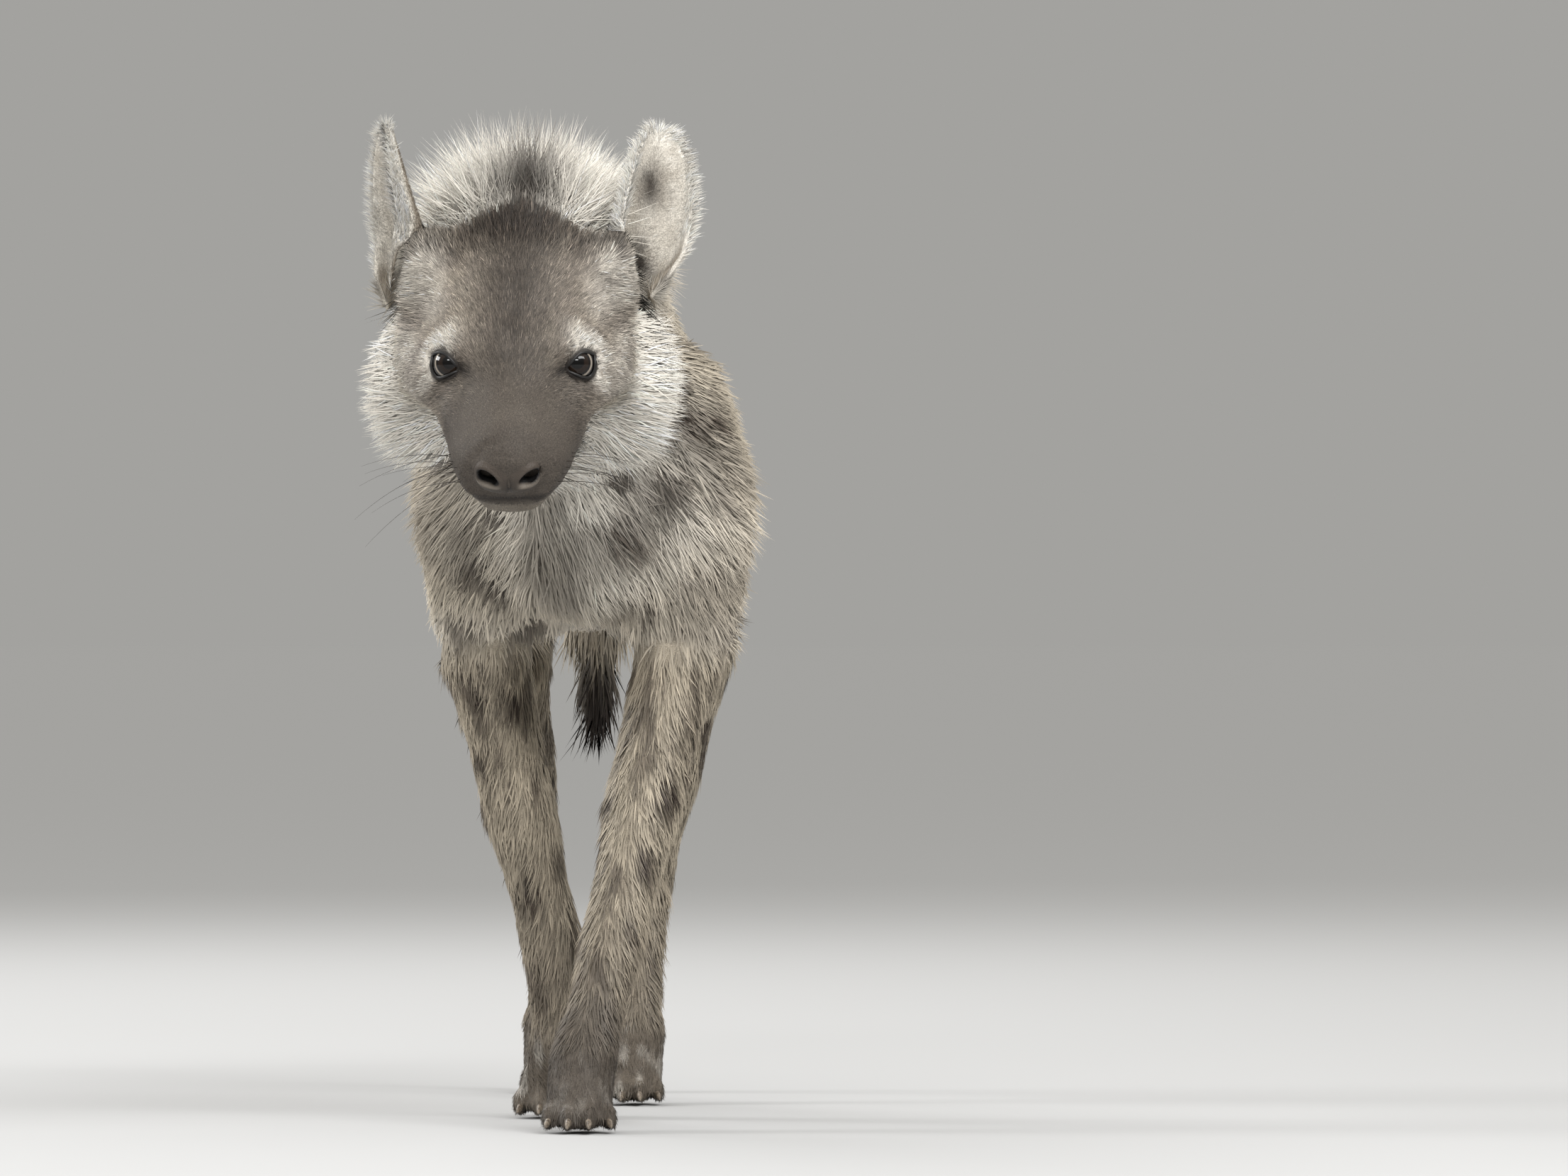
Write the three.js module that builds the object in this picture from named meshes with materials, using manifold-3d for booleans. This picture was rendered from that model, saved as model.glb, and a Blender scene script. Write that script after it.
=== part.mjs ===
// A spotted hyena at life size, walking with its head held low: a still model in millimetres.
// The animal faces -Y, its own left side is +X, and it stands on the plane z = 0.
// Its flesh is a field: many soft masses and limbs that flow into one another. Each part of the body is
// a stack of rings, found by walking out from the part's own middle line to the skin of that field.
import * as THREE from "three";
import { mergeVertices } from "three/addons/utils/BufferGeometryUtils.js";
import Module from "manifold-3d";

const wasm = await Module();
wasm.setup();

// Driving dimensions, in millimetres and degrees
const GAP = 0.3; // between neighbouring parts
const ELBOW_HEIGHT = 400; // where the forelegs leave the trunk
const STIFLE_HEIGHT = 425; // where the hind legs leave the trunk
const PAW_HEIGHT = 60; // where the legs meet the paws
const EYE_MIDPOINT = [-51, -590, 626]; // between the two eyes
const HEAD_PITCH = 31; // how far the muzzle hangs below level
const HEAD_YAW = 3; // towards the animal's right
const SKULL_BACK = -112; // where head and neck meet, behind the eyes
const NECK_BACK = -262; // where neck and torso meet, along y
const EYE_RADIUS = 13.5;
const MANE_LENGTH = 62; // of the longest locks, between the ears
const TRUNK_SIDES = 30;
const HEAD_SIDES = 36;
const LEG_SIDES = 14;

const vec = (x, y, z) => new THREE.Vector3(x, y, z);
const mix = THREE.MathUtils.lerp;
const radians = THREE.MathUtils.degToRad;
const SIDES_OF_BODY = [
  { name: "left", side: 1 },
  { name: "right", side: -1 },
];

// Closed solids from geometry, and back
function solidOf(geometry) {
  const bare = geometry.clone();
  bare.deleteAttribute("normal");
  bare.deleteAttribute("uv");
  const merged = mergeVertices(bare, 1e-3);
  return new wasm.Manifold(
    new wasm.Mesh({
      numProp: 3,
      vertProperties: merged.attributes.position.array,
      triVerts: new Uint32Array(merged.index.array),
    }),
  );
}

function geometryOf(solid) {
  const mesh = solid.getMesh();
  return new THREE.BufferGeometry()
    .setAttribute("position", new THREE.BufferAttribute(mesh.vertProperties, 3))
    .setIndex(new THREE.BufferAttribute(mesh.triVerts, 1));
}

// A cut or a union can leave scraps, so a part keeps its largest closed surface.
function largest(solid) {
  const volumeOf = (piece) => piece.volume();
  return solid.decompose().sort((a, b) => volumeOf(b) - volumeOf(a))[0];
}

// Rings of equally many points, joined into one closed skin. Each end is a strip across its ring.
function solidFromRings(rings) {
  const count = rings[0].length;
  const positions = rings.flat().flatMap((p) => [p.x, p.y, p.z]);
  const faces = [];
  const quad = (a, b, c, d) => faces.push(a, b, c, a, c, d);
  for (let r = 0; r + 1 < rings.length; r++) {
    for (let k = 0; k < count; k++) {
      const next = (k + 1) % count;
      quad(r * count + k, r * count + next, (r + 1) * count + next, (r + 1) * count + k);
    }
  }
  const last = (rings.length - 1) * count;
  for (let k = 0; k + 1 < count / 2; k++) {
    quad(k, count - 1 - k, count - 2 - k, k + 1);
    quad(last + k, last + k + 1, last + count - 2 - k, last + count - 1 - k);
  }
  const build = (index) => {
    const geometry = new THREE.BufferGeometry();
    geometry.setAttribute("position", new THREE.Float32BufferAttribute(positions, 3));
    geometry.setIndex(index);
    return solidOf(geometry.toNonIndexed());
  };
  const solid = build(faces);
  return solid.volume() > 0 ? solid : build(faces.toReversed());
}

// The frame of the head: u runs along the muzzle, v to the animal's left, w up through the crown.
const headFrame = new THREE.Matrix4()
  .makeTranslation(...EYE_MIDPOINT)
  .multiply(new THREE.Matrix4().makeRotationZ(radians(-HEAD_YAW)))
  .multiply(new THREE.Matrix4().makeRotationX(radians(HEAD_PITCH)))
  .multiply(
    new THREE.Matrix4().makeBasis(vec(0, -1, 0), vec(1, 0, 0), vec(0, 0, 1)),
  );
const intoHead = headFrame.clone().invert();
const onHead = (u, v, w) => vec(u, v, w).applyMatrix4(headFrame);
const alongHead = (u, v, w) => vec(u, v, w).transformDirection(headFrame);

// Flesh: signed distances, below zero inside
const mass = (centre, half) => (p) => {
  const [x, y, z] = [p.x - centre[0], p.y - centre[1], p.z - centre[2]];
  const near = Math.hypot(x / half[0], y / half[1], z / half[2]);
  const steep = Math.hypot(x / half[0] ** 2, y / half[1] ** 2, z / half[2] ** 2);
  return steep < 1e-9 ? -Math.min(...half) : (near * (near - 1)) / steep;
};

const limb = (from, to, fromRadius, toRadius) => {
  const along = to.map((value, axis) => value - from[axis]);
  const square = along.reduce((sum, value) => sum + value * value, 0);
  return (p) => {
    const [x, y, z] = [p.x - from[0], p.y - from[1], p.z - from[2]];
    const raw = (x * along[0] + y * along[1] + z * along[2]) / square;
    const share = Math.min(1, Math.max(0, raw));
    const away = Math.hypot(x - share * along[0], y - share * along[1], z - share * along[2]);
    return away - mix(fromRadius, toRadius, share);
  };
};

const blend = (parts, softness) => (p) =>
  -softness * Math.log(parts.reduce((sum, part) => sum + Math.exp(-part(p) / softness), 0));

const bothSides = (make) => SIDES_OF_BODY.flatMap(({ side }) => make(side));

// The head's flesh, in the head's own frame
const skull = blend(
  [
    mass([-72, 0, 6], [74, 72, 52]), // braincase
    mass([-88, 0, 28], [60, 50, 38]), // muscle over the crest
    mass([-20, 0, 2], [52, 54, 33]), // forehead
    limb([8, 0, -14], [92, 0, -31], 35, 26), // bridge of the muzzle
    mass([50, 0, -46], [58, 46, 28]), // body of the muzzle
    mass([-94, 0, -54], [64, 64, 57]), // throat
    mass([74, 0, -77], [17, 21, 12]), // chin
    ...bothSides((side) => [
      mass([-12, side * 44, 16], [26, 22, 14]), // brow
      mass([-92, side * 76, 28], [30, 27, 42]), // root of the ear
      mass([-34, side * 62, -20], [50, 28, 30]), // cheekbone
      mass([8, side * 38, -32], [46, 24, 26]), // below the eye
      mass([-60, side * 54, -38], [60, 37, 40]), // chewing muscle
      mass([70, side * 22, -43], [33, 21, 24]), // whisker pad
      limb([94, side * 19, -52], [20, side * 42, -55], 13.5, 13), // upper lip
      limb([-52, side * 40, -70], [72, side * 14, -76], 26, 13), // lower jaw
    ]),
  ],
  6,
);

// The legs, from the trunk down: each joint is [x, y, z] and the coat's radius there
const FORELEGS = [
  {
    name: "left",
    shoulder: [88, -262, 515, 60],
    joints: [
      [80, -215, 396, 50],
      [48, -262, 262, 41],
      [24, -310, 152, 35],
      [1, -348, 60, 33],
      [-2, -362, 34, 31],
    ],
    paw: [-2, -372],
  },
  {
    name: "right",
    shoulder: [-88, -250, 515, 60],
    joints: [
      [-84, -165, 400, 50],
      [-56, -138, 262, 40],
      [-31, -110, 158, 34],
      [-20, -84, 60, 33],
      [-26, -76, 34, 31],
    ],
    paw: [-31, -64],
  },
];
const HINDLEGS = [
  {
    name: "left",
    hip: [64, 345, 545, 82],
    joints: [
      [82, 226, 404, 56],
      [66, 262, 286, 37],
      [50, 286, 196, 27],
      [38, 236, 60, 28],
      [36, 224, 34, 28],
    ],
    hamstring: [64, 405, 535, 54],
    calf: [72, 306, 400, 38],
    heel: [50, 308, 212, 13],
    paw: [34, 212],
  },
  {
    name: "right",
    hip: [-64, 350, 545, 82],
    joints: [
      [-82, 330, 392, 56],
      [-64, 410, 296, 37],
      [-48, 478, 208, 27],
      [-40, 484, 60, 28],
      [-39, 476, 34, 28],
    ],
    hamstring: [-64, 420, 530, 54],
    calf: [-72, 402, 400, 38],
    heel: [-48, 502, 222, 13],
    paw: [-38, 466],
  },
];
const LEG_FLATNESS = 0.86; // a leg is narrower across than front to back

const chain = (joints) =>
  joints.slice(1).map((joint, k) => limb(joints[k], joint, joints[k][3], joint[3]));
const foreLimb = (leg) => chain([leg.shoulder, ...leg.joints]);
const hindLimb = (leg) => [
  ...chain([leg.hip, ...leg.joints]),
  limb(leg.hamstring, leg.calf, leg.hamstring[3], leg.calf[3]),
  limb(leg.calf, leg.heel, leg.calf[3], leg.heel[3]),
];

// The trunk's and neck's flesh, in the body's frame
const TRUNK_MASSES = [
  mass([0, -70, 562], [114, 240, 162]), // rib cage
  limb([0, -190, 702], [0, 110, 664], 58, 62), // spine over the ribs
  limb([0, 110, 664], [0, 372, 612], 62, 54), // spine over the loin
  mass([0, -200, 645], [62, 130, 116]), // withers
  mass([0, -262, 522], [84, 92, 110]), // brisket
  mass([0, 115, 560], [108, 225, 134]), // belly
  mass([0, 268, 590], [90, 170, 92]), // loin
  mass([0, 370, 580], [82, 106, 86]), // croup
  limb([0, -235, 684], [-46, -498, 702], 66, 58), // nape
  limb([0, -270, 584], [-46, -480, 636], 92, 74), // throat
  limb([-4, -240, 704], [-46, -470, 722], 48, 58), // thick roots of the mane
  mass([-46, -480, 724], [72, 46, 60]), // and of its crest between the ears
  mass([90, -218, 524], [50, 82, 132]), // left shoulder
  mass([-90, -206, 524], [50, 82, 132]), // right shoulder
  ...bothSides((side) => [mass([-46 + side * 76, -498, 616], [46, 44, 72])]), // ruff behind the cheeks
];
const trunkMasses = blend(
  [
    ...TRUNK_MASSES,
    ...FORELEGS.flatMap((leg) => [limb(leg.shoulder, leg.joints[0], leg.shoulder[3], leg.joints[0][3])]),
    ...HINDLEGS.flatMap((leg) => [
      limb(leg.hip, leg.joints[0], leg.hip[3], leg.joints[0][3]),
      limb(leg.hamstring, leg.calf, leg.hamstring[3], leg.calf[3]),
    ]),
  ],
  11,
);
const flesh = (p) => {
  const headward = skull(p.clone().applyMatrix4(intoHead));
  return blend([() => trunkMasses(p), () => headward], 9)();
};

// How far a ray from inside the field runs before it leaves the skin
function reachOf(field, centre, way, level = 0) {
  const STRIDE = 4;
  const FARTHEST = 330;
  const isOut = (reach) => field(centre.clone().addScaledVector(way, reach)) > level;
  let outer = STRIDE;
  while (outer < FARTHEST && !isOut(outer)) outer += STRIDE;
  let inner = outer - STRIDE;
  for (let step = 0; step < 10; step++) {
    const middle = (inner + outer) / 2;
    if (isOut(middle)) outer = middle;
    else inner = middle;
  }
  return inner;
}

// A ring of points on the skin, round a point inside it
function ringIn(field, centre, right, up, sides, level = 0) {
  return Array.from({ length: sides }, (_, k) => {
    const turn = (2 * Math.PI * (k + 0.5)) / sides;
    const way = right.clone().multiplyScalar(Math.cos(turn)).addScaledVector(up, Math.sin(turn));
    return centre.clone().addScaledVector(way, reachOf(field, centre, way, level));
  });
}

// Where a ray from inside the body leaves its skin, and which way the skin faces there
function skinAt(field, centre, way) {
  const point = centre.clone().addScaledVector(way, reachOf(field, centre, way));
  const tilt = ["x", "y", "z"].map((axis) => {
    const ahead = point.clone();
    ahead[axis] += 1;
    return field(ahead) - field(point);
  });
  return { point, out: vec(...tilt).normalize() };
}

// A lock of long hair: a flat blade, rooted under the skin, that widens, bends over and runs out to a tip
const LOCK = { sunk: 10, thickness: 0.2, widths: [0.85, 1, 0.7, 0.05] };
function lock({ point, out }, along, { length, width, stand }) {
  const lie = along.clone().projectOnPlane(out).normalize();
  const run = length * Math.sqrt(1 - stand * stand);
  const onLock = (height, share) => point.clone().addScaledVector(out, height).addScaledVector(lie, share * run);
  const root = onLock(-LOCK.sunk, -0.1);
  const shoulder = onLock(0.66 * stand * length, 0.36);
  const tip = onLock(stand * length, 1);
  const spine = new THREE.QuadraticBezierCurve3(root, shoulder, tip);
  const across = vec(0, 0, 0).crossVectors(lie, out).normalize();
  const rings = LOCK.widths.map((share, k) => {
    const at = k / (LOCK.widths.length - 1);
    const middle = spine.getPoint(at);
    const face = vec(0, 0, 0).crossVectors(across, spine.getTangent(at)).normalize();
    const half = (share * width) / 2;
    const deep = half * mix(LOCK.thickness, 0.6, at);
    return [
      middle.clone().addScaledVector(face, deep),
      middle.clone().addScaledVector(across, half).addScaledVector(face, -deep * 0.5),
      middle.clone().addScaledVector(face, -deep),
      middle.clone().addScaledVector(across, -half).addScaledVector(face, -deep * 0.5),
    ];
  });
  return solidFromRings(rings);
}
let drawn = 11;
const vary = (value, share) => value * (1 + share * (2 * THREE.MathUtils.seededRandom(drawn++) - 1));
const grown = (body, locks) => locks.reduce((sum, each) => sum.add(each), body);

// A smooth value through named stations, such as the height of a middle line
function through(stations) {
  const curve = new THREE.CatmullRomCurve3(
    stations.map((s) => vec(s[0], s[1], s[2] ?? 0)),
    false,
    "catmullrom",
    0.5,
  );
  return (share) => curve.getPoint(share);
}

const evenly = (from, to, count) =>
  Array.from({ length: count }, (_, k) => mix(from, to, k / (count - 1)));

// A block that stands for "everything on one side", for parting the body
function block(low, high, frame = new THREE.Matrix4()) {
  const size = vec(...high).sub(vec(...low));
  const centre = vec(...low).addScaledVector(size, 0.5);
  return solidOf(
    new THREE.BoxGeometry(...size).translate(...centre).applyMatrix4(frame),
  );
}

// The trunk: upright rings from the rump to the neck, closest together where the rump rounds off
const torsoMiddle = through([
  [0, 480, 590],
  [0, 330, 572],
  [0, 60, 572],
  [0, -150, 595],
  [0, NECK_BACK, 620],
]);
let rumpEnd = 400;
while (flesh(vec(0, rumpEnd, 590)) < 0) rumpEnd += 0.5;
const rumpStations = [1, 3.5, 8, 15, 26].map((back) => rumpEnd - back);
const torsoRings = [...rumpStations, ...evenly(rumpEnd - 40, 190, 11), ...evenly(160, NECK_BACK, 14)].map((y) => {
  const middle = torsoMiddle((480 - y) / (480 - NECK_BACK));
  return ringIn(flesh, vec(0, y, middle.z), vec(1, 0, 0), vec(0, 0, 1), TRUNK_SIDES);
});
let torso = solidFromRings(torsoRings);

// The neck: its rings lean over from upright, at the shoulders, to square across the head
const neckEnd = onHead(SKULL_BACK - GAP, 0, -12);
const neckLine = through([
  [0, NECK_BACK - GAP, 625],
  [-12, -345, 640],
  [-34, -430, 650],
  [neckEnd.x, neckEnd.y, neckEnd.z],
]);
const neckRings = evenly(0, 1, 12).map((share) => {
  const lean = share ** 1.5;
  const up = vec(0, 0, 1).lerp(alongHead(0, 0, 1), lean).normalize();
  const right = vec(1, 0, 0).lerp(alongHead(0, 1, 0), lean).normalize();
  return ringIn(flesh, neckLine(share), right, up, TRUNK_SIDES);
});
let neck = solidFromRings(neckRings).subtract(block([-260, -700, 200], [260, -200, ELBOW_HEIGHT]));

// The head: rings square across the muzzle's line, closest together round the eyes and nose
const headStations = [
  SKULL_BACK, -102, -91, -80, -69, -58, -48, -39, -31, -23, -15, -7, 1, 8, 15, 23, 32, 41, 51, 61, 71, 80,
  88, 94, 98.5, 101.5,
];
const headMiddle = (u) => mix(-14, -54, THREE.MathUtils.smoothstep(u, SKULL_BACK, 96));
const headRings = (level) =>
  headStations.map((station) => {
    const u = station + Math.sign(station - 40) * level;
    return ringIn(flesh, onHead(u, 0, headMiddle(u)), alongHead(0, 1, 0), alongHead(0, 0, 1), HEAD_SIDES, level);
  });
let head = solidFromRings(headRings(0));
const headRoom = solidFromRings(headRings(GAP + 0.1));

// The eyes, sunk so that only a cap of each stands proud of the face
const EYE_PROUD = 3.6;
const GAZE_OUT = 24; // degrees from straight ahead
const GAZE_UP = 12;
const eyes = SIDES_OF_BODY.map(({ name, side }) => {
  const gaze = alongHead(
    Math.cos(radians(GAZE_OUT)) * Math.cos(radians(GAZE_UP)),
    side * Math.sin(radians(GAZE_OUT)) * Math.cos(radians(GAZE_UP)),
    Math.sin(radians(GAZE_UP)),
  );
  const start = onHead(-20, side * 42, -2);
  let reach = 0;
  while (flesh(start.clone().addScaledVector(gaze, reach)) < 0) reach += 0.5;
  const centre = start.addScaledVector(gaze, reach - EYE_RADIUS + EYE_PROUD);
  return { name, side, gaze, centre };
});
const ballAt = (centre, radius, round = 12, tall = 9) =>
  solidOf(new THREE.SphereGeometry(radius, round, tall).translate(...centre));

// The almond between the lids, its outer corner the higher, as a bar that runs out along the gaze
const LID_THICKNESS = 2.4;
const EYE_OPENING = { width: 30, above: 10, below: 8, tilt: 18 };
function almondBar({ gaze, centre, side }) {
  const { width, above, below, tilt } = EYE_OPENING;
  const outline = new THREE.Shape();
  outline.moveTo(-width / 2, 0);
  outline.quadraticCurveTo(0, -2 * below, width / 2, 0);
  outline.quadraticCurveTo(0, 2 * above, -width / 2, 0);
  const bar = new THREE.ExtrudeGeometry(outline, { depth: 40, bevelEnabled: false, curveSegments: 7 });
  const up = alongHead(0, 0, 1);
  const across = vec(0, 0, 0).crossVectors(up, gaze).normalize();
  const trueUp = vec(0, 0, 0).crossVectors(gaze, across).normalize();
  const frame = new THREE.Matrix4().makeBasis(across, trueUp, gaze).setPosition(centre);
  return solidOf(bar.rotateZ(radians(side * tilt)).applyMatrix4(frame));
}
for (const eye of eyes) {
  head = head.add(ballAt(eye.centre, EYE_RADIUS + LID_THICKNESS));
  head = head.subtract(ballAt(eye.centre, EYE_RADIUS + GAP));
  head = head.subtract(almondBar(eye));
}

// The lower jaw, parted from the head along the line of the mouth
const MOUTH_SLIT = 0.8;
const mouthLine = (drop) => [
  [130, -67 - drop],
  [96, -68 - drop],
  [74, -71 - drop],
  [48, -66 - drop],
  [20, -61 - drop],
  [2, -55 - drop],
];
function jawRegion(slit) {
  const outline = new THREE.Shape();
  const line = mouthLine(slit);
  outline.moveTo(...line[0]);
  line.slice(1).forEach((p) => outline.lineTo(...p));
  outline.lineTo(-4 + slit, -66 - slit);
  outline.lineTo(-30 + slit, -150);
  outline.lineTo(130, -150);
  const slab = new THREE.ExtrudeGeometry(outline, { depth: 240, bevelEnabled: false }).translate(0, 0, -120);
  // The outline's x and y become u and w, and its depth runs across the head.
  const turn = new THREE.Matrix4().makeBasis(vec(1, 0, 0), vec(0, 0, 1), vec(0, -1, 0));
  return solidOf(slab.applyMatrix4(turn).applyMatrix4(headFrame));
}
const wholeHead = head;
const jaw = largest(wholeHead.intersect(jawRegion(MOUTH_SLIT)));
head = largest(wholeHead.subtract(jawRegion(0)));

// The nose pad: a rounded block of bare skin with two nostrils that open to the front and sides
const NOSE = { centre: [99, 0, -40], half: [17, 28, 19], squareness: 0.74 };
const nosePad = new THREE.SphereGeometry(1, 14, 10);
{
  const at = nosePad.attributes.position;
  const squared = (value) => Math.sign(value) * Math.abs(value) ** NOSE.squareness;
  for (let k = 0; k < at.count; k++) {
    at.setXYZ(
      k,
      NOSE.centre[0] + NOSE.half[0] * squared(at.getX(k)),
      NOSE.centre[1] + NOSE.half[1] * squared(at.getY(k)),
      NOSE.centre[2] + NOSE.half[2] * squared(at.getZ(k)),
    );
  }
}
let nose = solidOf(nosePad.applyMatrix4(headFrame)).subtract(headRoom);
for (const { side } of SIDES_OF_BODY) {
  const nostril = new THREE.SphereGeometry(1, 12, 8)
    .scale(8, 9, 6)
    .rotateX(radians(side * 24))
    .translate(116, side * 17, -42)
    .applyMatrix4(headFrame);
  nose = nose.subtract(solidOf(nostril));
}
nose = largest(nose);

// The ears: each is a cup with a thin edge, a little longer than it is wide, rounded at the tip and
// drawn in towards its root, where the two edges wrap forward to close the bowl
const EAR = { halfWidth: 32.5, depth: 35, rim: 2.2, wall: 4.5, across: 9, rows: 10 };
const EAR_OUTLINE = through([
  [0.5, 0],
  [0.72, 0.2],
  [1, 0.46],
  [0.94, 0.68],
  [0.7, 0.88],
  [0.26, 1],
]);
const EARS = [
  { name: "left", foot: [30, -496, 668], bulge: [64, -524, 728], tip: [66, -496, 817], facing: [0.48, -0.87, -0.1] },
  { name: "right", foot: [-120, -494, 668], bulge: [-150, -524, 728], tip: [-158, -494, 819], facing: [-0.95, -0.3, 0] },
];
function earRings({ foot, bulge, tip, facing }, isRoom = false) {
  const stem = new THREE.QuadraticBezierCurve3(vec(...foot), vec(...bulge), vec(...tip));
  const up = vec(...tip).sub(vec(...bulge)).normalize();
  const front = vec(...facing).projectOnPlane(up).normalize();
  const across = vec(0, 0, 0).crossVectors(front, up).normalize();
  return evenly(0, 1, EAR.rows).map((step) => {
    const outline = EAR_OUTLINE(step);
    const [width, share] = [EAR.halfWidth * outline.x, outline.y];
    const depth = EAR.depth * Math.sqrt(outline.x) * mix(1, 0.3, share ** 1.6);
    const wrap = Math.PI * mix(0.86, 0.5, Math.min(1, share / 0.5));
    const wall = mix(EAR.wall, EAR.rim, Math.min(1, share / 0.5));
    const edge = (turn, inset) =>
      stem
        .getPoint(share)
        .addScaledVector(across, Math.max(0.4, width - inset) * Math.sin(turn))
        .addScaledVector(front, depth * 0.4 - Math.max(0.3, depth - inset) * Math.cos(turn));
    if (isRoom) return evenly(-Math.PI * 0.95, Math.PI * 0.95, 20).map((turn) => edge(turn, -1.5));
    const turns = evenly(-wrap, wrap, EAR.across);
    return [...turns.map((turn) => edge(turn, 0)), ...turns.toReversed().map((turn) => edge(turn, wall))];
  });
}
const ears = EARS.map((ear) => ({
  name: ear.name,
  solid: largest(solidFromRings(earRings(ear)).subtract(headRoom)),
}));

// The mane: locks in staggered rows from the crown, where they stand, to the withers, where they lie back.
const maneLocks = [];
evenly(0.92, 0.14, 7).forEach((share, row) => {
  const lean = share ** 1.5;
  const up = vec(0, 0, 1).lerp(alongHead(0, 0, 1), lean).normalize();
  const centre = neckLine(share).addScaledVector(up, 40);
  const backward = neckLine(share - 0.05).sub(neckLine(share)).normalize();
  const spread = mix(54, 58, share);
  const columns = row % 2 ? evenly(-0.82, 0.82, 5) : evenly(-1, 1, 6);
  for (const column of columns) {
    const turn = radians(column * spread);
    const way = up.clone().multiplyScalar(Math.cos(turn)).addScaledVector(vec(1, 0, 0), Math.sin(turn));
    const along = backward.clone().addScaledVector(vec(0, 0, -1), 0.3 * Math.abs(column));
    const size = {
      length: vary(mix(1.35, 1, share) * MANE_LENGTH * mix(1, 0.86, Math.abs(column)), 0.1),
      width: vary(44, 0.1),
      stand: mix(0.26, 0.88, share ** 3) * mix(1, 0.9, Math.abs(column)),
    };
    maneLocks.push(lock(skinAt(flesh, centre, way), along, size));
  }
});
neck = grown(neck, maneLocks);
neck = neck.subtract(block([-300, NECK_BACK - GAP, 0], [300, 400, 1200]));
neck = neck.subtract(block([SKULL_BACK - GAP, -300, -400], [300, 300, 300], headFrame));
for (const ear of EARS) neck = neck.subtract(solidFromRings(earRings(ear, true)));
neck = largest(neck);

// The legs: level rings from the trunk down to the paw
const squashed = (parts, middleAt, flatness) => (p) => {
  const middle = middleAt(p.z);
  return blend(parts, 6)(vec(middle.x + (p.x - middle.x) / flatness, p.y, p.z));
};
const middleOf = (joints) => (z) => {
  const below = joints.findIndex((joint) => joint[2] <= z);
  if (below <= 0) return vec(joints.at(below)[0], joints.at(below)[1], z);
  const [top, bottom] = [joints[below - 1], joints[below]];
  const share = (z - top[2]) / (bottom[2] - top[2]);
  return vec(mix(top[0], bottom[0], share), mix(top[1], bottom[1], share), z);
};
function legSolid(joints, parts, top, rows, bottom = PAW_HEIGHT) {
  const middle = middleOf([[...joints[0].slice(0, 2), 600], ...joints]);
  const field = squashed(parts, middle, LEG_FLATNESS);
  return solidFromRings(
    evenly(top - GAP, bottom, rows).map((z) => ringIn(field, middle(z), vec(1, 0, 0), vec(0, 1, 0), LEG_SIDES)),
  );
}

// The paws: a pad of flesh under the leg, and four toes with blunt claws, flat where they meet the floor
const TOES = [
  { out: -1.5, forward: 12, size: 0.92 },
  { out: -0.5, forward: 25, size: 1 },
  { out: 0.5, forward: 25, size: 1 },
  { out: 1.5, forward: 12, size: 0.92 },
];
const TOE = { half: [10.2, 25, 17], spacing: 16.4, height: 13.5 };
const CLAW = { length: 16, radius: 4.4, rise: 10 };
function pawSolid(leg, parts, scale) {
  const [x, y] = leg.paw;
  const body = [...parts, mass([x, y + 6, 24], [34 * scale, 36 * scale, 26])];
  const middle = middleOf([[...leg.joints[0].slice(0, 2), 600], ...leg.joints]);
  let paw = solidFromRings(
    evenly(PAW_HEIGHT - GAP, 0, 6).map((z) =>
      ringIn(squashed(body, middle, LEG_FLATNESS), middle(z), vec(1, 0, 0), vec(0, 1, 0), LEG_SIDES),
    ),
  );
  for (const { out, forward, size } of TOES) {
    const centre = vec(x + out * TOE.spacing * scale, y - forward * scale, TOE.height);
    const toe = new THREE.SphereGeometry(1, 8, 6)
      .scale(...TOE.half.map((half) => half * size * scale))
      .rotateX(radians(12))
      .rotateZ(radians(out * 7))
      .translate(...centre);
    const claw = new THREE.ConeGeometry(CLAW.radius * scale, CLAW.length, 5)
      .translate(0, CLAW.length / 2, 0)
      .rotateX(radians(202))
      .rotateZ(radians(out * 7))
      .translate(centre.x, centre.y - 19 * size * scale, CLAW.rise);
    paw = paw.add(solidOf(toe)).add(solidOf(claw));
  }
  return largest(paw.subtract(block([-400, -900, -100], [400, 900, 0])));
}

const legs = [
  ...FORELEGS.map((leg) => ({ kind: "fore", leg, parts: foreLimb(leg), top: ELBOW_HEIGHT, scale: 1 })),
  ...HINDLEGS.map((leg) => ({ kind: "hind", leg, parts: hindLimb(leg), top: STIFLE_HEIGHT, scale: 0.92 })),
].map((made) => ({
  ...made,
  legSolid: legSolid(made.leg.joints, made.parts, made.top, 14),
  pawSolid: pawSolid(made.leg, made.parts, made.scale),
}));
// Long hair hangs from the back of each foreleg, outward of its middle.
for (const made of legs.filter(({ kind }) => kind === "fore")) {
  const outward = made.leg.name === "left" ? 1 : -1;
  const middle = middleOf(made.leg.joints);
  const field = squashed(made.parts, middle, LEG_FLATNESS);
  const tufts = evenly(365, 235, 4).map((z, row) => {
    const way = vec(outward * (row % 2 ? 0.35 : 0.8), 1, 0).normalize();
    const size = { length: vary(84, 0.12), width: vary(40, 0.1), stand: 0.2 };
    return lock(skinAt(field, middle(z), way), vec(outward * 0.2, 0.25, -1), size);
  });
  made.legSolid = largest(grown(made.legSolid, tufts));
}
// The trunk ends level where each leg begins.
torso = torso.subtract(block([-260, -420, 200], [260, 20, ELBOW_HEIGHT]));
torso = torso.subtract(block([-260, 130, 200], [260, 620, STIFLE_HEIGHT]));

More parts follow.
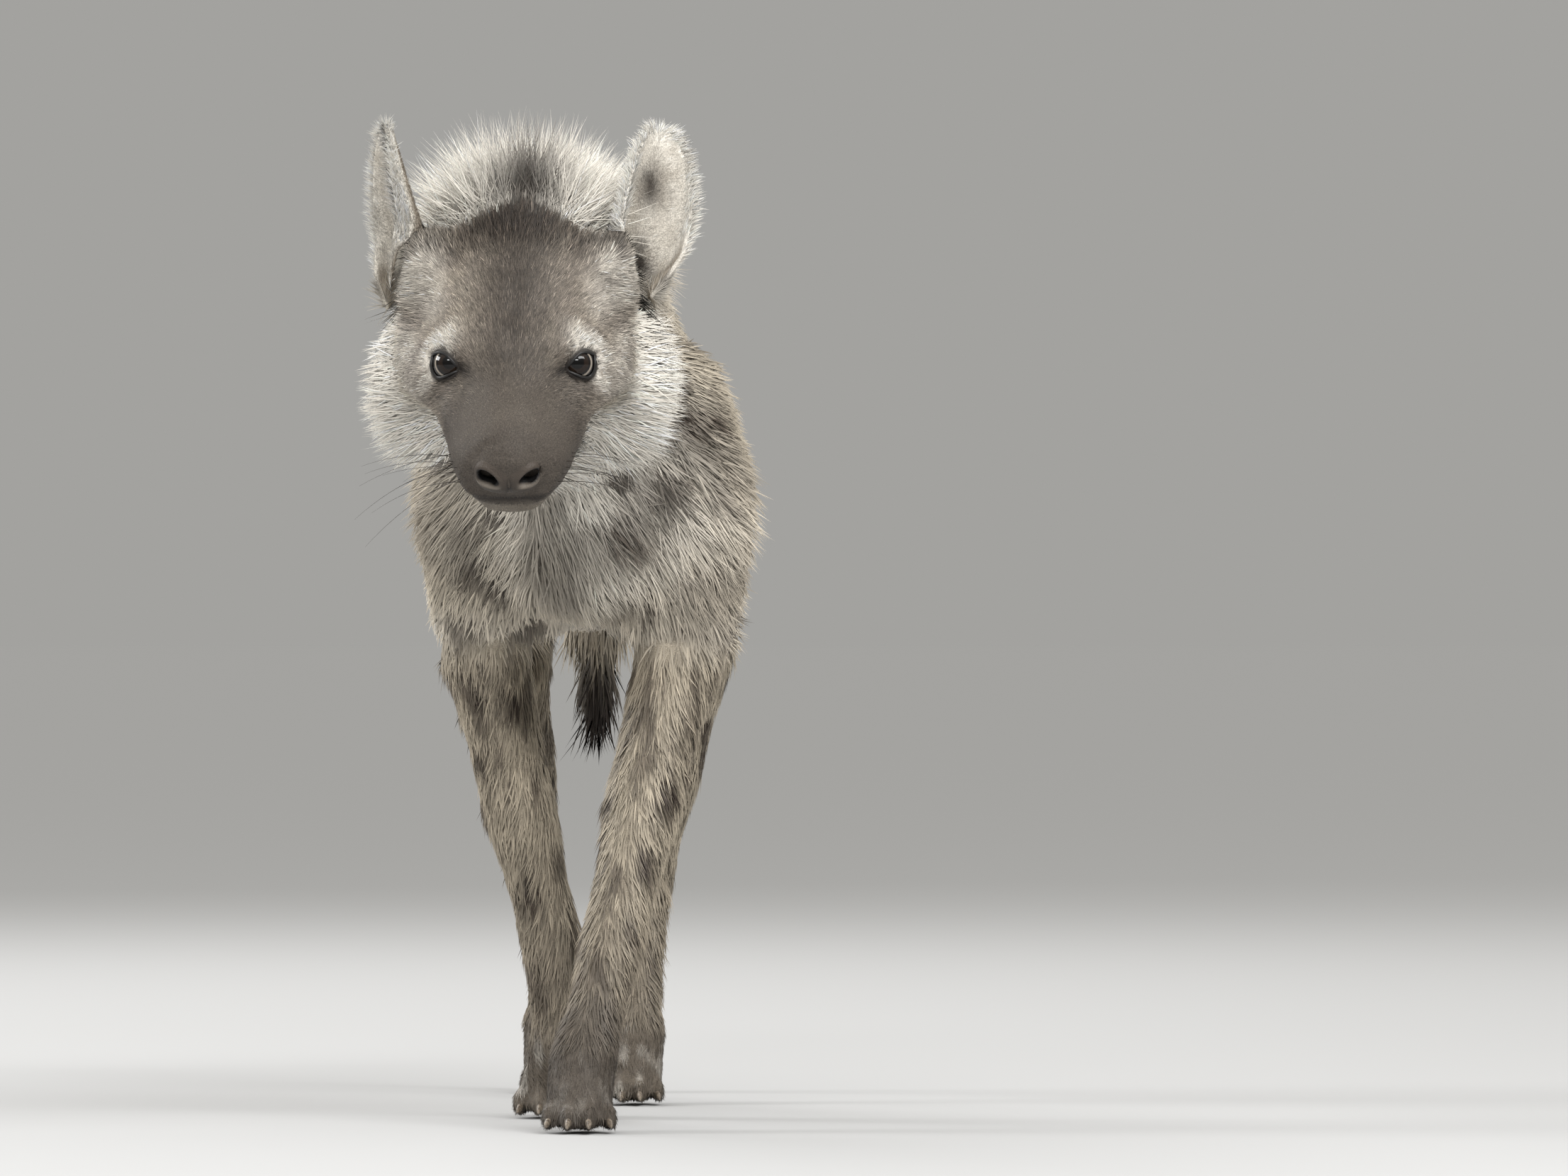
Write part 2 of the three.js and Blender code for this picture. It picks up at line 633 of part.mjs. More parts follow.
// The mane runs on over the withers and fades out along the back.
const backLocks = [];
evenly(NECK_BACK + 12, 0, 5).forEach((y, row) => {
  for (const turn of row % 2 ? [-11, 11] : [-30, 0, 30]) {
    const way = vec(Math.sin(radians(turn)), 0, Math.cos(radians(turn)));
    const size = { length: vary(mix(84, 62, row / 4), 0.1), width: vary(44, 0.1), stand: mix(0.24, 0.16, row / 4) };
    backLocks.push(lock(skinAt(flesh, vec(0, y, 640), way), vec(0, 1, -0.1), size));
  }
});
torso = grown(torso, backLocks).subtract(block([-300, -900, 0], [300, NECK_BACK, 1200]));
torso = largest(torso);

// The tail: a tapering stem that hangs behind the rump, and the brush of long locks round its end
const TAIL = [
  [0, rumpEnd + GAP, 590, 26],
  [0, rumpEnd + 24, 556, 21],
  [0, rumpEnd + 46, 480, 18],
  [0, rumpEnd + 50, 405, 14],
  [0, rumpEnd + 47, 356, 6],
];
const tailField = blend(chain(TAIL), 5);
const tailLine = through(TAIL.map(([x, y, z]) => [x, y, z]));
const tailAhead = (share) =>
  tailLine(Math.min(1, share + 0.02))
    .sub(tailLine(Math.max(0, share - 0.02)))
    .normalize();
const tailRings = evenly(0, 1, 11).map((share) => {
  const level = vec(0, 1, 0).lerp(tailAhead(share), Math.min(1, share * 5)).normalize();
  const up = vec(0, 0, 0).crossVectors(vec(1, 0, 0), level).normalize();
  return ringIn(tailField, tailLine(share), vec(1, 0, 0), up, 10);
});
const brushLocks = evenly(0.52, 0.78, 2).flatMap((share, row) =>
  evenly(0, 0.75, 4).map((part) => {
      const turn = 2 * Math.PI * (part + row / 8);
      const way = vec(Math.cos(turn), Math.sin(turn), 0);
      const size = { length: vary(mix(112, 96, row), 0.08), width: vary(42, 0.1), stand: mix(0.16, 0.08, row) };
      return lock(skinAt(tailField, tailLine(share), way), tailAhead(share), size);
    }),
);
const tail = largest(
  grown(solidFromRings(tailRings), brushLocks).subtract(block([-200, 0, 0], [200, rumpEnd + GAP, 900])),
);

// Every part of the body, by name
const pelt = new THREE.MeshStandardMaterial({ name: "pelt", color: "#a59a88", roughness: 0.95, metalness: 0 });
const darkPelt = new THREE.MeshStandardMaterial({ name: "dark_pelt", color: "#4d463e", roughness: 0.95, metalness: 0 });
const noseSkin = new THREE.MeshStandardMaterial({ name: "nose_skin", color: "#2b2826", roughness: 0.5, metalness: 0 });
const eyeBall = new THREE.MeshStandardMaterial({ name: "eye", color: "#1c1512", roughness: 0.08, metalness: 0 });

const hyena = new THREE.Group();
const show = (name, solid, material) => {
  const mesh = new THREE.Mesh(geometryOf(solid), material);
  mesh.name = name;
  hyena.add(mesh);
};
show("torso", torso, pelt);
show("neck", neck, pelt);
show("head", head, pelt);
show("lower_jaw", jaw, darkPelt);
show("nose", nose, noseSkin);
for (const ear of ears) show(`ear_${ear.name}`, ear.solid, pelt);
for (const eye of eyes) show(`eye_${eye.name}`, ballAt(eye.centre, EYE_RADIUS), eyeBall);
for (const { kind, leg, legSolid: upper, pawSolid: lower } of legs) {
  show(`${kind}leg_${leg.name}`, upper, pelt);
  show(`${kind}paw_${leg.name}`, lower, darkPelt);
}
show("tail", tail, pelt);

// The part's origin is under the middle of its own box, on the floor.
const box = new THREE.Box3().setFromObject(hyena);
hyena.position.set(-(box.min.x + box.max.x) / 2, -(box.min.y + box.max.y) / 2, 0);

export default hyena;
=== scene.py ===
# A spotted hyena at life size, walking towards the viewer with its head held low.
import math

import bmesh
import bpy
import numpy as np
import openvdb
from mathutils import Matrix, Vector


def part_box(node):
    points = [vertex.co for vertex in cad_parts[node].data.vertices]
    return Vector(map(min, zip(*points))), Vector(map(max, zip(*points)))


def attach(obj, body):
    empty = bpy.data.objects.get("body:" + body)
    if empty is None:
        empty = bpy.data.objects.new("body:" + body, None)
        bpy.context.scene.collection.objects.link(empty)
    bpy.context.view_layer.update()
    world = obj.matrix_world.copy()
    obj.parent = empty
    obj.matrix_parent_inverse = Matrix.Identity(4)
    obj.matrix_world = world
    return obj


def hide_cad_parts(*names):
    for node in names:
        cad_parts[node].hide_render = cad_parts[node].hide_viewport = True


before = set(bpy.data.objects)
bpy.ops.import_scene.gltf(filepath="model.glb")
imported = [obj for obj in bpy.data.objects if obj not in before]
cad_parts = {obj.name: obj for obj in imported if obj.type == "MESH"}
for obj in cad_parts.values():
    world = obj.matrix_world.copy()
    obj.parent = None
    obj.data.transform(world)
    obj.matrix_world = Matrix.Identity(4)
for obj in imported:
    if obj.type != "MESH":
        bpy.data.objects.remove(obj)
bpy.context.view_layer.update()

# The camera
# It stands ten and a half metres in front of the eyes, at the height of the chest, and looks
# level along +Y through a long lens.
EYE_CENTRES = {side: np.mean(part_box(f"eye_{side}"), axis=0) for side in ("left", "right")}
between_eyes = (EYE_CENTRES["left"] + EYE_CENTRES["right"]) / 2
camera_data = bpy.data.cameras.new("camera")
camera_data.lens = 299.5  # mm
camera_data.sensor_width = 36  # mm
camera_data.clip_end = 300  # metres
camera = bpy.data.objects.new("camera", camera_data)
BESIDE, IN_FRONT, HIGH = 0.2172, 10.4771, 0.446  # metres, from the eyes and above the floor
camera.location = (between_eyes[0] + BESIDE, between_eyes[1] - IN_FRONT, HIGH)
camera.rotation_euler = (math.pi / 2, 0, 0)
bpy.context.collection.objects.link(camera)
bpy.context.scene.camera = camera


# The floor and the light
# A wide pale studio floor that runs out to a backdrop of the same grey, and an even light that is
# brighter overhead. Soft lamps stand in front, high and low, one on the animal's right, and one
# behind for the tips of the coat.
def linear(code):
    """The linear colour of an sRGB hex value."""
    parts = [int(code[k : k + 2], 16) / 255 for k in (1, 3, 5)]
    return [c / 12.92 if c <= 0.04045 else ((c + 0.055) / 1.055) ** 2.4 for c in parts]


def new_material(name):
    """An empty Principled material and its shader."""
    material = bpy.data.materials.new(name)
    material.use_nodes = True
    return material, material.node_tree.nodes["Principled BSDF"]


def feed(material, node, inputs):
    """Sets the inputs of a node to numbers, or links them to the sockets of others."""
    for socket, value in inputs.items():
        if isinstance(value, bpy.types.NodeSocket):
            material.node_tree.links.new(value, node.inputs[socket])
        else:
            node.inputs[socket].default_value = value


def add_node(material, kind, inputs=None, **settings):
    """A node with its settings and its inputs."""
    node = material.node_tree.nodes.new("ShaderNode" + kind)
    for name, value in settings.items():
        setattr(node, name, value)
    feed(material, node, inputs or {})
    return node


BACKDROP = "#a3a29f"
# Matt painted board: no gloss to speak of, and a faint grain of 17 mm that keeps it from looking flat.
studio_floor, floor_shader = new_material("matt_studio_board")
floor_place = add_node(studio_floor, "TexCoord").outputs["Object"]
floor_grain = add_node(studio_floor, "TexNoise", {"Vector": floor_place, "Scale": 60.0})
floor_bump = add_node(studio_floor, "Bump", {"Height": floor_grain.outputs["Fac"], "Strength": 0.05})
floor_look = {"Base Color": [*linear("#bababa"), 1], "Roughness": 0.95, "Specular IOR Level": 0.1}
feed(studio_floor, floor_shader, {**floor_look, "Normal": floor_bump.outputs["Normal"]})
disc = bmesh.new()
bmesh.ops.create_circle(disc, cap_ends=True, segments=96, radius=90)
floor_mesh = bpy.data.meshes.new("floor")
disc.to_mesh(floor_mesh)
disc.free()
floor_mesh.materials.append(studio_floor)
floor = bpy.data.objects.new("floor", floor_mesh)
floor.location.z = -0.0005
bpy.context.collection.objects.link(floor)

sky = bpy.data.worlds.new("studio")
sky.use_nodes = True
sky_nodes = sky.node_tree
sky_nodes.nodes["Background"].inputs["Color"].default_value = [*linear(BACKDROP), 1]
sky_place = sky_nodes.nodes.new("ShaderNodeTexCoord")
sky_parts = sky_nodes.nodes.new("ShaderNodeSeparateXYZ")
sky_rise = sky_nodes.nodes.new("ShaderNodeMapRange")
SKY_RISE = {"From Min": 0.12, "From Max": 0.75, "To Min": 1.0, "To Max": 2.3}
for socket, value in SKY_RISE.items():
    sky_rise.inputs[socket].default_value = value
sky_nodes.links.new(sky_place.outputs["Generated"], sky_parts.inputs["Vector"])
sky_nodes.links.new(sky_parts.outputs["Z"], sky_rise.inputs["Value"])
sky_nodes.links.new(sky_rise.outputs["Result"], sky_nodes.nodes["Background"].inputs["Strength"])
bpy.context.scene.world = sky
bpy.context.scene.view_settings.view_transform = "Standard"

LAMPS = [
    # name, place in metres, width and height in metres, watts
    ("soft_front", (2.4, -4.2, 4.3), 4.4, 1.6, 290),
    ("soft_low", (-0.5, -5.6, 2.9), 1.6, 0.5, 75),
    ("soft_behind", (-1.8, 4.6, 4.2), 3.2, 1.2, 150),
    ("soft_side", (-4.4, 0.4, 2.6), 1.6, 1.4, 110),
]
for lamp_name, lamp_place, lamp_width, lamp_height, watts in LAMPS:
    lamp_data = bpy.data.lights.new(lamp_name, "AREA")
    lamp_data.shape = "RECTANGLE"
    lamp_data.size = lamp_width
    lamp_data.size_y = lamp_height
    lamp_data.energy = watts
    lamp = bpy.data.objects.new(lamp_name, lamp_data)
    lamp.location = lamp_place
    towards = np.array([0, 0, 0.5]) - np.array(lamp_place)
    lamp.rotation_euler = (
        math.atan2(math.hypot(towards[0], towards[1]), -towards[2]),
        0,
        math.atan2(towards[1], towards[0]) - math.pi / 2,
    )
    bpy.context.collection.objects.link(lamp)


# The skin
# One closed hide over trunk, neck, head, ears and legs, as deep under the tips of the coat as the
# hair on it is long. The solids are read into a level set, which closes the cuts between them,
# sinks each place by its own depth and drops the modelled locks. The lids and lips are shaped last.
EYES_AT = np.array([-51.15, -592.86, 627.8])  # mm from the spine, the shoulders and the floor
HEAD_PITCH = math.radians(31)  # how far the muzzle hangs below level
corner_to_corner = EYE_CENTRES["left"] - EYE_CENTRES["right"]
head_left = corner_to_corner / np.linalg.norm(corner_to_corner)
level_ahead = np.cross(head_left, [0, 0, 1])
level_ahead = -level_ahead if level_ahead[1] > 0 else level_ahead
head_ahead = level_ahead * math.cos(HEAD_PITCH) - np.array([0, 0, math.sin(HEAD_PITCH)])
head_up = level_ahead * math.sin(HEAD_PITCH) + np.array([0, 0, math.cos(HEAD_PITCH)])
HEAD_AXES = np.array([head_ahead, head_left, head_up])


def body_place(points):
    """Points in metres as millimetres to the left of the spine, back from the shoulders, and up."""
    return (points - between_eyes) * 1000 + EYES_AT


def head_place(points):
    """Points in metres as millimetres ahead of the eyes, to the head's left, and up its crown."""
    return ((points - between_eyes) * 1000) @ HEAD_AXES.T


def ease(low, high, value):
    """0 below low, 1 above high, and smooth between."""
    share = np.clip((value - low) / (high - low), 0, 1)
    return share * share * (3 - 2 * share)


def mixed(a, b, share):
    """a where share is 0 and b where it is 1."""
    return a + (b - a) * share


def hump(value, middle, width):
    """1 where value is the middle, falling off smoothly by about that width on both sides."""
    return np.exp(-(((value - middle) / width) ** 2))


def inside_mask(points):
    """How many millimetres points lie inside the short-haired mask of the face, below zero behind."""
    ahead, _, above = head_place(points).T
    back = -67 - np.clip(above, -50, 12) - 0.72 * np.clip(above - 12, 0, 50)
    beneath = -41 - 25 * ease(5, 50, ahead) - 0.2 * np.maximum(0, ahead - 50)
    return np.minimum(ahead - back, 1.2 * (above - beneath))


def where_on_body(points):
    """How much each point belongs to each stretch of the coat; the shares add up to one."""
    x, y, z = body_place(points).T
    ahead, aside, above = head_place(points).T
    foot_of_mane = -110 - 20 * hump(aside, 4, 20)
    head = ease(-16, 4, ahead - foot_of_mane) * ease(440, 500, z)
    muzzle = ease(18, 62, ahead)
    crown = ease(-66, -94, ahead) * ease(30, 60, above)
    ruff = ease(5, -24, inside_mask(points)) * (1 - ease(5, 45, ahead))
    tail = ease(470, 480, y) * ease(280, 290, z) * (1 - ease(60, 70, np.abs(x)))
    leg = (1 - ease(380, 428, z)) * (1 - tail)
    paw = 1 - ease(52, 92, z)
    neck = 1 - ease(-330, -215, y)
    over = ease(690, 738, z + 0.12 * np.clip(y + 480, 0, 300)) * (1 - ease(60, 95, np.abs(x + 46 * neck)))
    shares = {
        "muzzle": head * muzzle * (1 - ruff),
        "crown": head * (1 - muzzle) * crown,
        "ruff": head * (1 - (1 - muzzle) * crown) * ruff,
        "face": head * (1 - muzzle) * (1 - crown) * (1 - ruff),
        "tail": (1 - head) * tail,
        "paw": (1 - head) * leg * paw,
        "leg": (1 - head) * leg * (1 - paw),
    }
    rest = (1 - head) * (1 - leg) * (1 - tail)
    shares["mane"] = rest * neck * over
    shares["neck"] = rest * neck * (1 - over)
    shares["crest"] = rest * (1 - neck) * over * (1 - ease(-60, 60, y))
    shares["trunk"] = rest * (1 - neck) - shares["crest"]
    return shares


DEPTHS = {  # mm from the tips of the coat to the skin
    "muzzle": 0.6,
    "face": 2.4,
    "crown": 5,
    "ruff": 11,
    "tail": 6,
    "paw": 3,
    "leg": 8,
    "mane": 14,
    "neck": 14,
    "crest": 14,
    "trunk": 12,
}


def set_up(name, mesh, finish):
    """A new piece of the animal, which is one rigid body."""
    mesh.materials.clear()
    mesh.materials.append(finish)
    piece = bpy.data.objects.new(name, mesh)
    bpy.context.collection.objects.link(piece)
    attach(piece, "root")
    return piece


def triangles_of(mesh):
    """The corners and triangles of a mesh, as arrays."""
    corners = np.empty(len(mesh.vertices) * 3, np.float32)
    mesh.vertices.foreach_get("co", corners)
    mesh.calc_loop_triangles()
    triangles = np.empty(len(mesh.loop_triangles) * 3, np.int32)
    mesh.loop_triangles.foreach_get("vertices", triangles)
    return corners.reshape(-1, 3), triangles.reshape(-1, 3)


def facing_of(mesh):
    """The outward direction at each corner of a mesh."""
    directions = np.empty(len(mesh.vertices) * 3)
    mesh.vertices.foreach_get("normal", directions)
    return directions.reshape(-1, 3)


def level_set(corners, faces, cell, band):
    """Distances to a closed surface on a grid, with the grid's first cell."""
    grid = openvdb.FloatGrid.createLevelSetFromPolygons(
        corners.astype(np.float32),
        **faces,
        transform=openvdb.createLinearTransform(voxelSize=cell),
        halfWidth=band,
    )
    low, high = (np.array(corner) for corner in grid.evalActiveVoxelBoundingBox())
    first = low - 2
    distances = np.empty(high - first + 3, np.float32)
    grid.copyToArray(distances, ijk=tuple(int(k) for k in first))
    return grid, distances, first


def surface_of(distances, first, cell, flatness):
    """The zero surface of a grid of distances, as corners and faces of three or four."""
    grid = openvdb.FloatGrid(1.0)
    grid.copyFromArray(distances, ijk=tuple(int(k) for k in first))
    grid.transform = openvdb.createLinearTransform(voxelSize=cell)
    corners, triangles, quads = grid.convertToPolygons(isovalue=0, adaptivity=flatness)
    return corners, [*map(tuple, triangles.tolist()), *map(tuple, quads.tolist())]


def softened(distances):
    """Each distance averaged with its neighbours along the three ways of the grid."""
    for axis in range(3):
        middle = distances * 0.5
        distances = middle + 0.25 * (np.roll(distances, 1, axis) + np.roll(distances, -1, axis))
    return distances


CELL = 0.0025
EAR_NODES = ["ear_left", "ear_right"]
EYE_NODES = ["eye_left", "eye_right"]
SOLID_NODES = [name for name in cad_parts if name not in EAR_NODES]
node_corners, node_triangles = [], []
for node_name in SOLID_NODES:
    corners, triangles = triangles_of(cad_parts[node_name].data)
    node_triangles.append(triangles + sum(len(part) for part in node_corners))
    node_corners.append(corners)
whole, _, _ = level_set(
    np.concatenate(node_corners),
    {"triangles": np.concatenate(node_triangles).astype(np.uint32)},
    CELL,
    3,
)
CLOSING = 0.001  # wider than half of the cuts between the solids
HOLLOW_BEFORE_EARS, DEEPEST = 8, 15.5  # mm; the deepest hide stays within the distances read
READ_TO, WORKED_ON = 0.0175, 0.0174  # metres from the surface: seven cells, and a little less
closed_corners, closed_quads = whole.convertToQuads(isovalue=CLOSING)
_, depths_in, first_cell = level_set(closed_corners, {"quads": closed_quads}, CELL, 7)
near = np.argwhere(np.abs(depths_in) < WORKED_ON)
near_points = (near + first_cell) * CELL
near_shares = where_on_body(near_points)
ahead, aside, above = head_place(near_points).T
before_ears = np.exp(
    -(((ahead + 100) / 24) ** 2) - ((np.abs(aside) - 93) / 16) ** 2 - ((above - 22) / 30) ** 2
)
sink = sum(DEPTHS[region] * share for region, share in near_shares.items())
sink = np.minimum(sink + HOLLOW_BEFORE_EARS * before_ears, DEEPEST) / 1000 + CLOSING
calm = softened(softened(softened(softened(depths_in))))
calmness = sum(near_shares[region] for region in ("mane", "neck", "crest", "trunk", "leg", "tail"))
at_near = tuple(near.T)
levels = np.where(depths_in > 0, READ_TO, -READ_TO).astype(np.float32)
levels[at_near] = mixed(depths_in[at_near], calm[at_near], calmness) + sink
FILLED = [  # middle and radii in mm about the eyes: the end of the nose, and the floor of the jaw
    ((94, 1, -32), (21, 24, 18)),
    ((-4, 0, -72), (48, 27, 16)),
]
for filled_at, radii in FILLED:
    reach = np.linalg.norm((head_place(near_points) - filled_at) / radii, axis=1)
    levels[at_near] = np.minimum(levels[at_near], (reach - 1) * min(radii) / 1000)
FLAT_ENOUGH = 0.16  # how readily the faces of flat stretches are joined
hide_corners, hide_faces = surface_of(levels, first_cell, CELL, FLAT_ENOUGH)

hide_mesh = bpy.data.meshes.new("skin")
hide_mesh.from_pydata(hide_corners.tolist(), [], hide_faces)
hide = bmesh.new()
hide.from_mesh(hide_mesh)
shells = []
unseen = set(hide.verts)
while unseen:
    shell, edge_of_shell = set(), [unseen.pop()]
    while edge_of_shell:
        vertex = edge_of_shell.pop()
        shell.add(vertex)
        for edge in vertex.link_edges:
            other = edge.other_vert(vertex)
            if other in unseen:
                unseen.discard(other)
                edge_of_shell.append(other)
    shells.append(shell)
shells.sort(key=len)
for shell in shells[:-1]:
    bmesh.ops.delete(hide, geom=list(shell), context="VERTS")

# The face is cut finer, most of all round the eyes, for what is shaped there.
LIMITS = [  # the longest edge in metres, within so many metres of the eyes' middles
    (0.0048, 0.200),
    (0.0014, 0.022),
]
for longest, reach in LIMITS:
    for turn in range(4):
        places = np.array([vertex.co for vertex in hide.verts])
        if reach > 0.1:
            ahead_of_ears = head_place(places)[:, 0] > -95
            close = ahead_of_ears & (np.linalg.norm(places - between_eyes, axis=1) < reach)
        else:
            close = np.zeros(len(places), bool)
            for centre in EYE_CENTRES.values():
                close |= np.linalg.norm(places - centre, axis=1) < reach
        hide.verts.index_update()
        wide = [
            edge
            for edge in hide.edges
            if close[edge.verts[0].index]
            and close[edge.verts[1].index]
            and edge.calc_length() > longest
        ]
        if not wide:
            break
        bmesh.ops.subdivide_edges(hide, edges=wide, cuts=1, use_grid_fill=True)
        bmesh.ops.triangulate(hide, faces=[face for face in hide.faces if len(face.verts) > 4])
    places = np.array([vertex.co for vertex in hide.verts])
    soft = [vertex for vertex, ahead in zip(hide.verts, head_place(places)[:, 0]) if ahead > -90]
    bmesh.ops.smooth_vert(hide, verts=soft, factor=0.5, use_axis_x=True, use_axis_y=True, use_axis_z=True)
bmesh.ops.recalc_face_normals(hide, faces=hide.faces)

EYE_RADIUS = 14.0
EYE_MIDDLES = {side: centre + [0, 0.0004, -0.0017] for side, centre in EYE_CENTRES.items()}
OPENING = {"outer": 13.8, "inner": 14.1, "above": 6.6, "below": 13.4, "tilt": math.radians(24)}


def eye_frame(side):
    """The directions out along the gaze, to the outer corner and to the upper lid."""
    sign = 1 if side == "left" else -1
    out, up = math.radians(24), math.radians(26.5)
    in_head = [math.cos(out) * math.cos(up), sign * math.sin(out) * math.cos(up), math.sin(up)]
    gaze = np.array(in_head) @ HEAD_AXES
    outward = sign * head_left - gaze * np.dot(sign * head_left, gaze)
    outward /= np.linalg.norm(outward)
    upward = np.cross(gaze, outward)
    upward *= np.sign(np.dot(upward, head_up))
    turn = OPENING["tilt"]
    outer = outward * math.cos(turn) + upward * math.sin(turn)
    upper = upward * math.cos(turn) - outward * math.sin(turn)
    return gaze, outer, upper


def from_opening(points, side):
    """How far points lie from the edge of the eye's opening, below zero inside it, and the rest of
    their place about the eye: ahead along the gaze, towards the outer corner, and up. All in mm."""
    gaze, outer, upper = eye_frame(side)
    arm = (points - EYE_MIDDLES[side]) * 1000
    ahead, across, up = arm @ gaze, arm @ outer, arm @ upper - 1.5
    half = np.where(across > 0, OPENING["outer"], OPENING["inner"])
    high = np.where(up > 0, OPENING["above"], OPENING["below"])
    share = np.clip(across / half, -1, 1)
    edge = high * (1 - share**2) * (1 + 0.4 * share)
    slope = 2 * high * share / half
    beside = (np.abs(up) - edge) / np.sqrt(1 + slope**2)
    beyond = np.hypot(np.maximum(np.abs(across) - half, 0), up)
    return np.where(np.abs(across) > half, beyond, beside), ahead, across, up


MOUTH_LINE = [(97, -69), (72.5, -73), (46.5, -68), (18.5, -63), (0.5, -57), (-8, -50)]  # ahead, above


def from_mouth(points):
    """How far points lie from the line where the lips meet, in mm."""
    ahead, aside, above = head_place(points).T
    nearest = np.full(len(points), 1e3)
    for (a0, b0), (a1, b1) in zip(MOUTH_LINE, MOUTH_LINE[1:]):
        share = (ahead - a0) * (a1 - a0) + (above - b0) * (b1 - b0)
        share = np.clip(share / ((a1 - a0) ** 2 + (b1 - b0) ** 2), 0, 1)
        away = np.hypot(ahead - mixed(a0, a1, share), above - mixed(b0, b1, share))
        nearest = np.minimum(nearest, away)
    return nearest


def nostril_depth(points):
    """How far into the nostrils points lie, 1 at their edge and 0 at the middle."""
    ahead, aside, above = head_place(points).T
    beside = np.abs(aside - 1.5) - 17.2
    turn = math.radians(27)
    along = beside * math.cos(turn) + (above + 43) * math.sin(turn)
    across = (above + 43) * math.cos(turn) - beside * math.sin(turn)
    return np.sqrt(((ahead - 116) / 17) ** 2 + (along / 9.3) ** 2 + (across / (5.6 + 0.12 * along)) ** 2)


hide_mesh.clear_geometry()
hide.to_mesh(hide_mesh)
places, _ = triangles_of(hide_mesh)
places = places.astype(float)
facing = facing_of(hide_mesh)
for side, centre in EYE_MIDDLES.items():
    gap, ahead, across, up = from_opening(places, side)
    arm = places - centre
    reach = np.linalg.norm(arm, axis=1) * 1000
    lid = EYE_RADIUS + 1.9 + 0.5 * hump(gap, 2.5, 1.5)
    fold = 1.3 * hump(gap, 7.2, 1.5) * ease(-2, 3, up)
    wanted = mixed(lid, reach, ease(3.5, 12, gap)) - fold
    wanted = np.where(gap < -0.6, EYE_RADIUS - 3.5, wanted)
    shaped = (ahead > 1) & (reach < 30) & (gap < 14)
    places[shaped] = (centre + arm * (wanted / np.maximum(reach, 1e-6))[:, None])[shaped]
ahead, aside, above = head_place(places).T
lips = from_mouth(places)
sideways = ease(6, 12, np.abs(aside) + np.maximum(0, ahead - 84) * 3)
in_reach = ease(130, 100, np.linalg.norm(places - between_eyes, axis=1) * 1000 - 20)
groove = 2.6 * hump(lips, 0, 1.9) - 0.9 * hump(lips, 5, 2.4)
places -= facing * (groove * in_reach * (ahead > -8))[:, None] / 1000
places -= head_ahead * (0.012 * ease(1.3, 0.7, nostril_depth(places)) * (ahead > 96))[:, None]
hide_mesh.vertices.foreach_set("co", places.ravel())
hide.clear()
hide.from_mesh(hide_mesh)

# The ears are thin cups, read from their solids on a finer grid of their own. They are grown a
# little before they are softened, so that no thin place opens.
EAR_CELL = 0.0013
GROWN = np.float32(0.0008)
ear_spans = {}
for side in ("left", "right"):
    node_name = f"ear_{side}"
    corners, triangles = triangles_of(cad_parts[node_name].data)
    _, distances, first = level_set(corners, {"triangles": triangles.astype(np.uint32)}, EAR_CELL, 4)
    distances = softened(distances - GROWN)
    ear_corners, ear_faces = surface_of(distances, first, EAR_CELL, 0.1)
    ear_mesh = bpy.data.meshes.new(node_name + "_skin")
    ear_mesh.from_pydata(ear_corners.tolist(), [], ear_faces)
    ear_spans[side] = (len(hide.verts), len(hide.verts) + len(ear_corners))
    hide.from_mesh(ear_mesh)
bmesh.ops.recalc_face_normals(hide, faces=hide.faces)
bmesh.ops.triangulate(hide, faces=hide.faces)
hide_mesh.clear_geometry()
hide.to_mesh(hide_mesh)
hide.free()
hide_mesh.shade_smooth()
skin = bpy.data.objects.new("skin", hide_mesh)
bpy.context.collection.objects.link(skin)
bpy.context.view_layer.objects.active = skin
skin.select_set(True)
bpy.ops.object.mode_set(mode="EDIT")
bpy.ops.mesh.select_all(action="SELECT")
bpy.ops.uv.smart_project(angle_limit=math.radians(66), island_margin=0.002)
bpy.ops.object.mode_set(mode="OBJECT")
hide_mesh.uv_layers[0].name = "OFBake"


# The markings
# A buff coat with blurred dark spots, a dark mask from the brows to the nose, a pale ruff and a pale
# mane behind a dark crown, and dark feet. Skin and hair take them from the same place on the body.
def scatter_hash(i, j, k, seed):
    """A fixed random number from 0 to 1 for each whole-numbered place."""
    # Large factors throw the numbers of neighbouring places far apart.
    mixed_up = i * 374761393 + j * 668265263 + k * 2147483647 + seed * 1274126177
    mixed_up = (mixed_up ^ (mixed_up >> 13)) * 1103515245
    mixed_up = (mixed_up ^ (mixed_up >> 16)) * 69069
    return ((mixed_up ^ (mixed_up >> 15)) & 0xFFFFFF) / 0xFFFFFF


def scattered(cells, seed):
    """A fixed random place from 0 to 1 along each way in each cell of a grid."""
    return np.stack([scatter_hash(*cells.T, seed + k) for k in range(3)], 1)


def mottle(places, size, seed):
    """Smooth random blotches of about that size in mm, from 0 to 1."""
    cells = np.floor(places / size).astype(np.int64)
    inside = places / size - cells
    inside = inside * inside * (3 - 2 * inside)
    total = 0
    for corner in np.ndindex(2, 2, 2):
        weight = np.prod(np.where(corner, inside, 1 - inside), axis=1)
        total = total + weight * scatter_hash(*(cells + corner).T, seed)
    return total


